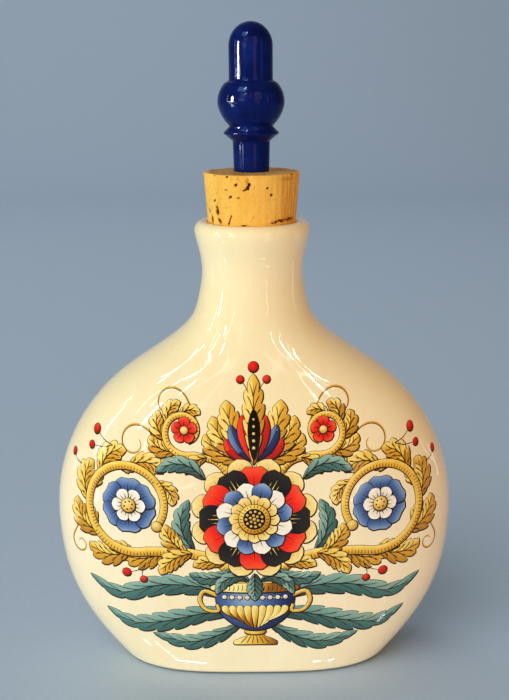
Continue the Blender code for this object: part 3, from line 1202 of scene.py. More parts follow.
    verts = np.concatenate(verts)
    norms = np.concatenate(norms)
    mesh = bpy.data.meshes.new("flask_glazed")
    mesh.from_pydata((verts * MM).tolist(), [], faces)
    mesh.update()
    mesh.polygons.foreach_set("material_index", np.array(slots, np.int32))
    mesh.polygons.foreach_set("use_smooth", np.ones(len(faces), bool))

    # the colours of the print, per corner
    starts = np.empty(len(faces), np.int32)
    mesh.polygons.foreach_get("loop_start", starts)
    colour = np.zeros((len(mesh.loops), 4), np.float32)
    by_paint = {}
    for n, top in enumerate(painted):
        if top:
            by_paint.setdefault(top, []).append(n)
    for top, members in by_paint.items():
        loops = np.concatenate(
            [starts[print_from + n] + np.arange(len(corners[n])) for n in members]
        )
        places = np.concatenate([where[list(corners[n])] for n in members])
        colour[loops] = paints[top](places)
    layer = mesh.color_attributes.new("print_colour", "FLOAT_COLOR", "CORNER")
    layer.data.foreach_set("color", colour.ravel())
    layer = mesh.uv_layers.new(name="OFBake")
    layer.uv.foreach_set("vector", np.concatenate(uvs).astype(np.float32).ravel())
    mesh.normals_split_custom_set_from_vertices(norms.tolist())
    for m in materials:
        mesh.materials.append(m)
    print("flask skin:", len(verts), "points,", len(faces), "faces")
    return new_object("flask_glazed", mesh)


# ---------------------------------------------------------------------------
# turned bodies: cork and knob
# ---------------------------------------------------------------------------
def turned(name, profile, segments):
    """A closed turned body from a profile of (r, z), up the inside, over the top
    and down the outside; an end with r = 0 is a point."""
    profile = [(float(r), float(z)) for r, z in profile]
    angle = 2.0 * math.pi * np.arange(segments) / segments
    c, s = np.cos(angle), np.sin(angle)
    verts, starts = [], []
    for r, z in profile:
        starts.append(sum(len(v) for v in verts))
        if r < 1e-9:
            verts.append(np.array([[0.0, 0.0, z]]))
        else:
            verts.append(np.stack([r * c, r * s, np.full(segments, z)], axis=1))
    faces = []
    for n in range(len(profile) - 1):
        low, high = starts[n], starts[n + 1]
        one, other = len(verts[n]) == 1, len(verts[n + 1]) == 1
        for j in range(segments):
            k = (j + 1) % segments
            if one:
                faces.append((high + k, low, high + j))
            elif other:
                faces.append((low + k, low + j, high))
            else:
                faces.append((low + k, low + j, high + j, high + k))
    return np.concatenate(verts), faces, starts


def mesh_from(name, verts, faces, materials):
    mesh = bpy.data.meshes.new(name)
    mesh.from_pydata((verts * MM).tolist(), [], faces)
    mesh.update()
    mesh.polygons.foreach_set("use_smooth", np.ones(len(faces), bool))
    for m in materials:
        mesh.materials.append(m)
    return mesh


DOME_TOP, DOME_R, DOME_H = 118.4, 3.82, 4.1
KNEE_Z, KNEE = 108.95, 0.55
BALL_Z, BALL_R = 105.05, 5.85
BALL_UP, BALL_DOWN, BALL_DOWN_POWER = 5.1, 6.0, 1.75
GROOVE_Z, GROOVE_R = 100.85, 3.80
COLLAR_Z, COLLAR_R, COLLAR_TIP = 99.74, 4.87, 0.22
COLLAR_FOOT_Z = 98.34
STEM_R_TOP, STEM_R_BOTTOM = 3.27, 3.15
SPIGOT_R, SPIGOT_BARB_R, SPIGOT_LENGTH = 1.75, 2.2, 11.0
SPIGOT_BARBS, SPIGOT_PITCH = 4, 2.2
SPIGOT_HOLE_R, SPIGOT_HOLE_DEPTH = 2.5, 12.0


def softened(points, radius, steps=5):
    """Rounds the corners of a profile with small arcs of about radius."""
    pts = [np.array(p, float) for p in points]
    out = [pts[0]]
    for before, here, after in zip(pts, pts[1:], pts[2:]):
        u, v = before - here, after - here
        lu, lv = np.linalg.norm(u), np.linalg.norm(v)
        if lu < 1e-9 or lv < 1e-9:
            continue
        cut = min(radius, lu * 0.45, lv * 0.45)
        turn = math.acos(float(np.clip(np.dot(u, v) / (lu * lv), -1, 1)))
        if turn > math.radians(172):
            out.append(here)
            continue
        p, q = here + u / lu * cut, here + v / lv * cut
        for t in np.linspace(0, 1, steps + 1):
            out.append((1 - t) ** 2 * p + 2 * t * (1 - t) * here + t**2 * q)
    out.append(pts[-1])
    return out


def knob_profile():
    top = []
    for t in np.radians(spread(90.0, 0.0, 30)):
        top.append((DOME_R * math.cos(t), DOME_TOP - DOME_H * (1 - math.sin(t))))
    top[0] = (0.0, DOME_TOP)
    for z in spread(DOME_TOP - DOME_H, KNEE_Z, 14)[1:-1]:
        top.append((DOME_R, z))
    for t in np.radians(spread(0.0, 58.0, 6)):
        top.append((DOME_R + KNEE * (1 - math.cos(t)), KNEE_Z - KNEE * math.sin(t)))
    start = math.degrees(math.asin((KNEE_Z - KNEE - 0.15 - BALL_Z) / BALL_UP))
    for t in np.radians(spread(start, 0.0, 22)):
        top.append((BALL_R * math.cos(t), BALL_Z + BALL_UP * math.sin(t)))
    for drop in spread(0.0, BALL_Z - GROOVE_Z, 22)[1:]:
        share = 1.0 - (drop / BALL_DOWN) ** BALL_DOWN_POWER
        top.append((BALL_R * share ** (1.0 / BALL_DOWN_POWER), BALL_Z - drop))
    top[-1] = (GROOVE_R, GROOVE_Z)
    below = [top[-1]]
    for t in np.radians(spread(58.0, -58.0, 8)):
        below.append(
            (
                COLLAR_R - COLLAR_TIP * (1 - math.cos(t)),
                COLLAR_Z + COLLAR_TIP * math.sin(t),
            )
        )
    below.append((STEM_R_TOP, COLLAR_FOOT_Z))
    stem_bottom = CORK_TOP + 0.03
    for z in spread(COLLAR_FOOT_Z, stem_bottom, 8)[1:]:
        share = (z - COLLAR_FOOT_Z) / (stem_bottom - COLLAR_FOOT_Z)
        below.append((STEM_R_TOP + (STEM_R_BOTTOM - STEM_R_TOP) * share, z))
    below.append((SPIGOT_R, stem_bottom))
    for i in range(SPIGOT_BARBS):
        z = CORK_TOP - 1.2 - i * SPIGOT_PITCH
        below.append((SPIGOT_R, z))
        below.append((SPIGOT_BARB_R, z - 0.15))
        below.append((SPIGOT_R, z - SPIGOT_PITCH * 0.7))
    tip = CORK_TOP - SPIGOT_LENGTH
    below += [(SPIGOT_R, tip + 0.7), (1.0, tip), (0.0, tip)]
    return top[:-1] + [tuple(p) for p in softened(below, 0.14)]


def build_knob(material):
    verts, faces, _ = turned("knob_lacquered", knob_profile(), 160)
    return new_object(
        "knob_lacquered", mesh_from("knob_lacquered", verts, faces, [material])
    )


# pores on the cork's side: angle from the front in degrees, height, half length,
# half width, lean of the long axis from upright in degrees, depth
CORK_PORES = (
    (-48.8, 92.93, 0.23, 0.13, 40, 0.25), (-29.8, 92.80, 0.27, 0.18, 75, 0.35),
    (-18.8, 91.46, 0.33, 0.24, 45, 0.55), (-3.0, 91.48, 0.38, 0.25, 25, 0.80),
    (-4.7, 90.93, 0.33, 0.29, -10, 0.80), (-4.0, 91.20, 0.46, 0.17, 12, 0.75),
    (-7.6, 90.68, 0.48, 0.13, 60, 0.30), (-32.1, 90.55, 0.24, 0.11, 80, 0.14),
    (18.8, 90.88, 0.21, 0.17, 80, 0.35), (24.0, 89.70, 0.26, 0.20, 10, 0.45),
    (-26.6, 89.38, 0.36, 0.20, 50, 0.50), (-16.4, 89.24, 0.26, 0.12, 85, 0.25),
    (-51.8, 88.57, 0.30, 0.20, 60, 0.40), (-48.2, 86.89, 0.84, 0.37, 0, 0.85),
    (-61.2, 85.06, 0.66, 0.36, 0, 0.80), (-67.0, 86.60, 0.42, 0.26, 0, 0.50),
    (-44.9, 85.07, 0.48, 0.28, -40, 0.70), (-26.4, 86.05, 0.19, 0.14, 25, 0.36),
    (-27.8, 85.65, 0.21, 0.12, 25, 0.32), (-29.3, 85.12, 0.20, 0.15, 25, 0.36),
    (-30.4, 84.74, 0.24, 0.17, 25, 0.36), (-28.4, 85.40, 0.78, 0.07, 24, 0.22),
    (-9.6, 84.52, 0.48, 0.12, 85, 0.30), (27.0, 84.80, 0.26, 0.11, 70, 0.30),
    (32.0, 84.94, 0.30, 0.22, 60, 0.40), (35.0, 85.06, 1.10, 0.10, 87, 0.12),
    (37.5, 85.20, 0.42, 0.15, 84, 0.40), (41.0, 84.98, 0.34, 0.20, 96, 0.30),
    (47.0, 85.22, 1.10, 0.12, 92, 0.13), (52.5, 85.08, 0.32, 0.20, 80, 0.22),
    (56.0, 85.36, 0.60, 0.12, 90, 0.30), (59.5, 85.16, 0.90, 0.15, 88, 0.14),
    (56.1, 93.05, 0.36, 0.16, 90, 0.30), (-57.0, 91.40, 0.15, 0.10, 60, 0.15),
    (-62.0, 88.60, 0.22, 0.09, 20, 0.15), (-59.0, 87.40, 0.22, 0.07, 10, 0.12),
    (-46.0, 88.10, 0.20, 0.07, 10, 0.10), (-42.0, 88.00, 0.17, 0.06, 10, 0.10),
    (-36.0, 87.35, 0.14, 0.08, 60, 0.10), (-32.6, 87.50, 0.20, 0.08, 0, 0.12),
    (-38.5, 86.40, 0.11, 0.09, 0, 0.10), (-13.0, 85.60, 0.12, 0.09, 0, 0.08),
    (3.5, 91.05, 0.30, 0.07, 8, 0.10), (37.0, 86.60, 0.12, 0.10, 0, 0.10),
    (-8.4, 86.90, 0.62, 0.045, 26, 0.07), (1.3, 85.71, 0.86, 0.05, 30, 0.08),
)
# soft brown marks in it, the same way, with a strength in place of a depth; the one at -7.8 degrees is a
# painted shadow beside the big pore
CORK_STAINS_AND_SHADOW = (
    (-32.1, 90.55, 0.42, 0.20, 85, 0.75), (-24.0, 92.50, 0.38, 0.20, 0, 0.45),
    (-16.5, 92.62, 0.42, 0.22, 0, 0.45), (-7.8, 90.75, 0.75, 0.34, 55, 0.60),
    (46.0, 92.25, 1.70, 0.34, 90, 0.60), (30.0, 84.90, 1.10, 0.26, 86, 0.80),
    (38.0, 85.15, 1.60, 0.32, 86, 1.00), (52.0, 85.20, 1.90, 0.40, 92, 1.00),
    (62.0, 84.95, 1.10, 0.34, 90, 0.80), (58.0, 88.20, 0.30, 3.20, 90, 0.25),
    (-60.0, 86.90, 0.50, 0.15, 0, 0.40), (-46.0, 88.10, 0.34, 0.11, 0, 0.40),
    (21.0, 88.90, 0.50, 0.30, 0, 0.35), (-47.0, 89.80, 0.36, 0.13, 30, 0.40),
    (-62.0, 90.60, 0.40, 0.15, 10, 0.45), (-66.0, 88.20, 0.50, 0.16, 0, 0.50),
    (-28.0, 87.60, 0.26, 0.12, 0, 0.40), (4.0, 92.60, 0.60, 0.14, 80, 0.30),
    (-8.0, 84.50, 1.20, 0.20, 88, 0.55), (17.0, 86.00, 0.50, 0.40, 0, 0.20),
)


# brown marks on its top: x, y, half length, half width, turn in degrees, strength
TOP_STAINS = (
    (5.6, 3.6, 2.6, 0.9, -18, 0.9), (6.9, -1.2, 1.5, 0.5, 70, 0.7), (2.2, 6.6, 2.0, 0.7, 5, 0.7),
    (-5.4, 2.2, 2.2, 0.6, 12, 0.5), (-3.6, -4.8, 2.4, 0.4, -14, 0.5), (4.4, -5.2, 2.2, 0.5, 10, 0.5),
    (-6.9, -1.6, 1.0, 0.4, 80, 0.6), (0.4, -6.8, 1.8, 0.35, 3, 0.45), (-1.8, 5.9, 1.5, 0.5, 30, 0.5),
)


def cork_profile():
    hole = CORK_TOP - SPIGOT_HOLE_DEPTH
    rows = [(0.0, hole), (1.3, hole), (SPIGOT_HOLE_R, hole)]
    for z in spread(hole, CORK_TOP - 0.15, 6)[1:]:
        rows.append((SPIGOT_HOLE_R, z))
    edge = 0.32
    for r in spread(SPIGOT_HOLE_R + 0.15, CORK_R_TOP - edge, 34):
        rows.append((r, CORK_TOP))
    for t in np.radians(spread(0.0, 90.0, 5))[1:]:
        z = CORK_TOP - edge * (1 - math.cos(t))
        rows.append((CORK_R_TOP - edge + edge * math.sin(t), z))
    low = 0.5
    for z in spread(CORK_TOP - edge, 83.6, 88)[1:]:
        rows.append((cork_radius(z), z))
    for z in spread(83.6, CORK_BOTTOM + low, 40)[1:]:
        rows.append((cork_radius(z), z))
    for t in np.radians(spread(0.0, 90.0, 4))[1:]:
        rows.append(
            (
                cork_radius(CORK_BOTTOM + low) - low * (1 - math.cos(t)),
                CORK_BOTTOM + low * (1 - math.sin(t)),
            )
        )
    for r in spread(rows[-1][0], 0.0, 18)[1:]:
        rows.append((r, CORK_BOTTOM))
    return rows


def side_frame(angle, z, lean):
    """A place on the cork's side, with the two axes of a mark that leans there."""
    a = math.radians(angle)
    r = float(cork_radius(z))
    place = np.array([r * math.sin(a), -r * math.cos(a), z])
    right, up = np.array([math.cos(a), math.sin(a), 0.0]), np.array([0.0, 0.0, 1.0])
    t = math.radians(lean)
    along = up * math.cos(t) + right * math.sin(t)
    return place, along, right * math.cos(t) - up * math.sin(t)


def cork_marks():
    """All pores, as (place, long axis, short axis, half length, half width, depth)."""
    marks = []
    for angle, z, long, wide, lean, depth in CORK_PORES:
        marks.append((*side_frame(angle, z, lean), long, wide, depth))
    chance = np.random.default_rng(29)
    while len(marks) < len(CORK_PORES) + 150:
        angle, z = chance.uniform(-180, 180), chance.uniform(75.4, 92.9)
        if abs(angle) < 72 and z > 84.2:
            continue
        long = 0.13 * math.exp(chance.normal(0.45, 0.55))
        wide = long * chance.uniform(0.3, 0.8)
        lean = chance.normal(0, 32)
        marks.append(
            (*side_frame(angle, z, lean), min(long, 1.1), min(wide, 0.3),
             min(0.15 + long * 0.9, 0.8))
        )
    for z, number in ((CORK_TOP, 34), (CORK_BOTTOM, 26)):
        for _ in range(number):
            a, r = chance.uniform(0, 2 * math.pi), 8.0 * math.sqrt(chance.uniform(0.18, 1))
            if z == CORK_BOTTOM:
                r *= 0.85
            t = math.radians(chance.normal(62, 14))
            along = np.array([math.cos(t), math.sin(t), 0.0])
            long = 0.16 * math.exp(chance.normal(0.3, 0.5))
            marks.append(
                (np.array([r * math.cos(a), r * math.sin(a), z]), along,
                 np.array([-along[1], along[0], 0.0]), long, long * 0.45, 0.3)
            )
    return marks


def nearness(verts, place, along, across, long, wide):
    """How far the points near a mark are from it, as a share of its own size."""
    d = verts - place
    size = 2.2 * long + 0.2
    near = np.nonzero((np.abs(d) < size).all(1))[0]
    d = d[near]
    u, w = d @ along / long, d @ across / wide
    off = d @ np.cross(along, across) / 0.9
    share = np.sqrt(u**2 + w**2 + off**2)
    ragged = noise(verts[near] * 4.2, 5, 2) * 0.30 + noise(verts[near] * 11.0, 9) * 0.16
    return near, share + ragged * np.minimum(share, 1.4)


def build_cork(material):
    verts, faces, _ = turned("cork_natural", cork_profile(), 400)
    mesh = mesh_from("cork_natural", verts, faces, [material])
    outward = np.empty(len(verts) * 3, np.float32)
    mesh.vertex_normals.foreach_get("vector", outward)
    outward = outward.reshape(-1, 3).astype(float)
    radius = np.hypot(verts[:, 0], verts[:, 1])
    shown = (radius > SPIGOT_HOLE_R + 0.4) | (verts[:, 2] < CORK_BOTTOM + 0.1)

    # an uneven skin, with a rubbed edge, then the pores
    sink = 0.018 * (1 + noise(verts * 0.9, 3, 3))
    top_edge = np.exp(-(((verts[:, 2] - CORK_TOP) / 0.35) ** 2)) * (radius > 7.7)
    sink = sink + 0.10 * top_edge * np.clip(noise(verts * 0.8, 21, 2) + 0.15, 0, 1)
    pit, stain = np.zeros(len(verts)), np.zeros(len(verts))
    for place, along, across, long, wide, depth in cork_marks():
        near, d = nearness(verts, place, along, across, long, wide)
        here = depth * (1.0 - smooth_step(0.45, 1.08, d))
        sink[near] = np.maximum(sink[near], here)
        # pores darken with depth to near black: their own brown, and painted shade inside them
        dark = (1.0 - smooth_step(0.72, 1.12, d)) * min(1.0, 0.2 + depth * 2.2)
        pit[near] = np.maximum(pit[near], dark)
        soft = (1.0 - smooth_step(0.9, 1.9, d)) * min(0.5, depth)
        stain[near] = np.maximum(stain[near], soft)
    # brown marks, and one painted shadow beside the big pore
    for angle, z, long, wide, lean, strength in CORK_STAINS_AND_SHADOW:
        near, d = nearness(verts, *side_frame(angle, z, lean), long, wide)
        here = strength * (1.0 - smooth_step(0.35, 1.35, d))
        stain[near] = np.maximum(stain[near], here)
    for x, y, long, wide, turn, strength in TOP_STAINS:
        t = math.radians(turn)
        along = np.array([math.cos(t), math.sin(t), 0.0])
        across = np.array([-along[1], along[0], 0.0])
        place = np.array([x, y, CORK_TOP])
        near, d = nearness(verts, place, along, across, long, wide)
        here = strength * (1.0 - smooth_step(0.2, 1.5, d))
        stain[near] = np.maximum(stain[near], here)
    pit, sink = pit * shown, sink * shown
    verts = verts - outward * sink[:, None]
    mesh.vertices.foreach_set("co", (verts * MM).astype(np.float32).ravel())
    mesh.update()
    for name, values in (("pit", pit), ("stain", stain)):
        layer = mesh.attributes.new(name, "FLOAT", "POINT")
        layer.data.foreach_set("value", values.astype(np.float32))
    return new_object("cork_natural", mesh)


# ---------------------------------------------------------------------------
# materials
# ---------------------------------------------------------------------------
class Look:
    """A material with short names for the nodes that it needs. Places are object
    coordinates, in metres."""

    def __init__(self, name):
        self.material = bpy.data.materials.new(name)
        self.material.use_nodes = True
        self.tree = self.material.node_tree
        self.shader = self.tree.nodes["Principled BSDF"]
        self.place = self.node("ShaderNodeTexCoord").outputs["Object"]

    def node(self, kind, **settings):
        n = self.tree.nodes.new(kind)
        for key, value in settings.items():
            setattr(n, key, value)
        return n

    def put(self, value, socket):
        if isinstance(value, bpy.types.NodeSocket):
            self.tree.links.new(value, socket)
        elif isinstance(value, (tuple, list)) and len(value) == 3 and socket.type == "RGBA":
            socket.default_value = (*value, 1.0)
        else:
            socket.default_value = value

    def shine(self, **values):
        """Sets or links the shader's own sockets, named with _ for spaces."""
        for key, value in values.items():
            self.put(value, self.shader.inputs[key.replace("_", " ")])

    def mapped(self, scale=(1, 1, 1), turn=(0, 0, 0), shift=(0, 0, 0)):
        n = self.node("ShaderNodeMapping")
        self.put(self.place, n.inputs["Vector"])
        n.inputs["Scale"].default_value = scale
        n.inputs["Rotation"].default_value = [math.radians(v) for v in turn]
        n.inputs["Location"].default_value = shift
        return n.outputs["Vector"]

    def noise(self, scale, detail=2.0, rough=0.5, place=None, bend=0.0, colour=False):
        n = self.node("ShaderNodeTexNoise")
        self.put(place or self.place, n.inputs["Vector"])
        n.inputs["Scale"].default_value = scale
        n.inputs["Detail"].default_value = detail
        n.inputs["Roughness"].default_value = rough
        n.inputs["Distortion"].default_value = bend
        return n.outputs["Color" if colour else "Fac"]

    def cells(self, scale, place=None, feature="F1"):
        n = self.node("ShaderNodeTexVoronoi", feature=feature)
        self.put(place or self.place, n.inputs["Vector"])
        n.inputs["Scale"].default_value = scale
        return n.outputs["Distance"], n.outputs["Color"]

    def ramp(self, value, *stops, smooth=False):
        n = self.node("ShaderNodeValToRGB")
        if smooth:
            n.color_ramp.interpolation = "EASE"
        self.put(value, n.inputs["Fac"])
        e = n.color_ramp.elements
        while len(e) < len(stops):
            e.new(0.5)
        for spot, (at, tone) in zip(e, stops):
            spot.position = at
            spot.color = (*tone, 1) if isinstance(tone, tuple) else (tone, tone, tone, 1)
        return n.outputs["Color"]

    def math(self, kind, a, b=0.0, clamp=False):
        n = self.node("ShaderNodeMath", operation=kind, use_clamp=clamp)
        self.put(a, n.inputs[0])
        self.put(b, n.inputs[1])
        return n.outputs["Value"]

    def spread_to(self, value, low, high, to_low, to_high):
        n = self.node("ShaderNodeMapRange")
        self.put(value, n.inputs["Value"])
        for key, v in (
            ("From Min", low), ("From Max", high), ("To Min", to_low), ("To Max", to_high)
        ):
            n.inputs[key].default_value = v
        return n.outputs["Result"]

    def mix(self, share, a, b, kind="MIX"):
        n = self.node("ShaderNodeMix", data_type="RGBA", blend_type=kind)
        self.put(share, n.inputs[0])
        self.put(a, n.inputs[6])
        self.put(b, n.inputs[7])
        return n.outputs[2]

    def split(self, vector):
        n = self.node("ShaderNodeSeparateXYZ")
        self.put(vector, n.inputs[0])
        return n.outputs

    def attribute(self, name):
        n = self.node("ShaderNodeAttribute", attribute_name=name)
        return n.outputs

    def bump(self, height, distance, strength=1.0, normal=None):
        n = self.node("ShaderNodeBump")
        self.put(height, n.inputs["Height"])
        n.inputs["Distance"].default_value = distance
        n.inputs["Strength"].default_value = strength
        if normal:
            self.put(normal, n.inputs["Normal"])
        return n.outputs["Normal"]


def wavy_glaze(look):
    """The slow waves of a hand-dipped glaze and its fine pitting, as a normal."""
    slow = look.noise(70.0, 1.5, 0.4, look.mapped((1.0, 1.0, 0.75)))
    mid = look.noise(260.0, 2.0, 0.5)
    waves = look.bump(slow, 0.0005, 0.045)
    waves = look.bump(mid, 0.00001, 0.18, waves)
    fine = look.noise(2600.0, 2.0, 0.6)
    return look.bump(fine, 0.000004, 0.25, waves)


def glaze_specks(look):
    """A few tiny iron specks and pinholes, 1 where they are."""
    far, tone = look.cells(190.0)
    size = look.ramp(far, (0.0, 1.0), (0.045, 0.75), (0.075, 0.0))
    few = look.ramp(look.split(tone)[0], (0.80, 0.0), (0.84, 1.0))
    tiny, tone2 = look.cells(520.0, look.mapped((1, 1, 1), (20, 35, 10)))
    dots = look.ramp(tiny, (0.0, 1.0), (0.06, 0.6), (0.09, 0.0))
    some = look.ramp(look.split(tone2)[1], (0.90, 0.0), (0.93, 1.0))
    return look.math(
        "MAXIMUM", look.math("MULTIPLY", size, few),
        look.math("MULTIPLY", look.math("MULTIPLY", dots, some), 0.6),
    )


def glaze_cream():
    look = Look("glaze_cream")
    cloud = look.noise(38.0, 3.0, 0.55)
    base = look.ramp(
        cloud, (0.30, (0.890, 0.780, 0.485)), (0.50, (0.910, 0.812, 0.530)),
        (0.72, (0.925, 0.838, 0.570)),
    )
    brushed = look.noise(420.0, 3.0, 0.6, look.mapped((1.0, 1.0, 0.06)))
    base = look.mix(0.19, base, look.ramp(brushed, (0.35, (0.96, 0.84, 0.70)), (0.65, 1.0)),
                    "MULTIPLY")
    # painted light by height: lighter and bluer towards the foot, darker and yellower on the shoulder,
    # yellower up the neck
    height = look.split(look.place)[2]
    painted_light_by_height = look.ramp(look.spread_to(height, 0.0, 0.080, 0.0, 1.0),
                      (0.06, (1.06, 1.06, 1.10)), (0.20, (1.02, 1.02, 1.09)),
                      (0.375, (1.0, 0.99, 1.06)), (0.72, (0.955, 0.945, 0.905)),
                      (0.86, (0.99, 0.97, 0.91)), (1.0, (1.0, 0.975, 0.92)))
    base = look.mix(1.0, base, painted_light_by_height, "MULTIPLY")
    fine = look.noise(900.0, 3.0, 0.6)
    base = look.mix(0.05, base, look.ramp(fine, (0.35, 0.72), (0.65, 1.0)), "MULTIPLY")
    specks = glaze_specks(look)
    base = look.mix(look.math("MULTIPLY", specks, 0.62), base, (0.24, 0.14, 0.06))
    wipes = look.noise(24.0, 4.0, 0.62, look.mapped((1.0, 1.0, 0.35), (0, 28, 0)), 0.6)
    rough = look.spread_to(wipes, 0.30, 0.75, 0.028, 0.062)
    look.shine(
        Base_Color=base, Roughness=rough, IOR=1.5, Normal=wavy_glaze(look),
        Subsurface_Weight=0.12, Subsurface_Radius=(0.004, 0.0025, 0.0015),
        Subsurface_Scale=0.4, Coat_Weight=0.35, Coat_Roughness=0.03,
    )
    return look.material


def print_enamel():
    """Enamel and bright gold, fired on: colours and the gold's share come with the
    mesh, and the nodes add the print's grain, thin spots and metal glints."""
    look = Look("print_enamel")
    paint = look.attribute("print_colour")
    colour, gold = paint["Color"], paint["Alpha"]
    grain = look.noise(3400.0, 2.0, 0.6)
    blot = look.noise(620.0, 3.0, 0.55)
    tone = look.ramp(grain, (0.30, 0.86), (0.70, 1.0))
    colour = look.mix(0.6, colour, tone, "MULTIPLY")
    tone = look.ramp(blot, (0.32, 0.82), (0.62, 1.0))
    colour = look.mix(0.5, colour, tone, "MULTIPLY")
    warm = look.ramp(look.noise(240.0, 2.0, 0.5), (0.35, (1.0, 0.90, 0.72)), (0.65, (1.0, 1.0, 1.0)))
    colour = look.mix(look.math("MULTIPLY", gold, 1.2, True), colour,
                      look.mix(1.0, colour, warm, "MULTIPLY"))
    shine_spots = look.ramp(look.noise(1500.0, 2.0, 0.65), (0.46, 0.25), (0.64, 1.0))
    metal = look.math("MULTIPLY", gold, shine_spots)
    rough = look.spread_to(look.noise(1100.0, 3.0, 0.6), 0.3, 0.7, 0.09, 0.22)
    normal = wavy_glaze(look)
    crinkle = look.noise(2100.0, 3.0, 0.65)
    normal = look.bump(look.math("MULTIPLY", crinkle, gold), 0.00006, 0.55, normal)
    look.shine(
        Base_Color=colour, Roughness=rough, Metallic=metal, IOR=1.45, Normal=normal,
        Coat_Weight=0.15, Coat_Roughness=0.05, Specular_IOR_Level=0.35,
    )
    return look.material


def glaze_inside():
    """The chamber: thin glaze with a brown film of snuff dust in it."""
    look = Look("glaze_inside")
    dust = look.noise(160.0, 5.0, 0.65)
    base = look.ramp(dust, (0.32, (0.16, 0.085, 0.035)), (0.52, (0.46, 0.34, 0.20)),
                     (0.70, (0.70, 0.60, 0.42)))
    rough = look.spread_to(dust, 0.3, 0.7, 0.85, 0.32)
    grit = look.bump(look.noise(1800.0, 3.0, 0.7), 0.00003, 0.6)
    look.shine(Base_Color=base, Roughness=rough, Normal=grit)
    return look.material


def foot_unglazed():
    """Bare fired porcelain where the foot stands: fine grain and shelf dirt."""
    look = Look("foot_unglazed")
    grain = look.noise(4200.0, 4.0, 0.7)
    dirt = look.noise(300.0, 5.0, 0.7)
    base = look.ramp(grain, (0.35, (0.58, 0.52, 0.42)), (0.6, (0.76, 0.71, 0.62)))
    base = look.mix(look.ramp(dirt, (0.52, 0.0), (0.72, 0.75)), base, (0.22, 0.17, 0.12))
    rough = look.spread_to(dirt, 0.3, 0.7, 0.62, 0.85)
    look.shine(Base_Color=base, Roughness=rough, Normal=look.bump(grain, 0.00004, 0.8))
    return look.material


def blue_lacquer():
    """Polished cobalt lacquer: cloudy depth, turning marks, dust and hairlines."""
    look = Look("blue_lacquer")
    depth = look.noise(330.0, 3.0, 0.55)
    base = look.ramp(depth, (0.30, (0.002, 0.006, 0.062)), (0.55, (0.003, 0.010, 0.098)),
                     (0.75, (0.006, 0.018, 0.140)))
    far, tone = look.cells(700.0)
    dust = look.math(
        "MULTIPLY", look.ramp(far, (0.0, 1.0), (0.07, 0.5), (0.11, 0.0)),
        look.ramp(look.split(tone)[0], (0.84, 0.0), (0.90, 1.0)),
    )
    base = look.mix(look.math("MULTIPLY", dust, 0.5), base, (0.30, 0.32, 0.36))
    turning = look.noise(900.0, 3.0, 0.6, look.mapped((0.04, 0.04, 1.0)))
    hair = look.noise(700.0, 4.0, 0.75, look.mapped((1.0, 1.0, 0.10), (12, 20, 0)), 0.4)
    rough = look.spread_to(hair, 0.35, 0.72, 0.05, 0.10)
    rough = look.math("ADD", rough, look.math("MULTIPLY", dust, 0.4))
    normal = look.bump(turning, 0.000008, 0.5)
    normal = look.bump(look.noise(300.0, 1.0, 0.4), 0.00003, 0.30, normal)
    look.shine(
        Base_Color=base, Roughness=rough, IOR=1.45, Normal=normal, Coat_Weight=0.0,
        Coat_Roughness=0.03, Specular_IOR_Level=0.12,
    )
    return look.material


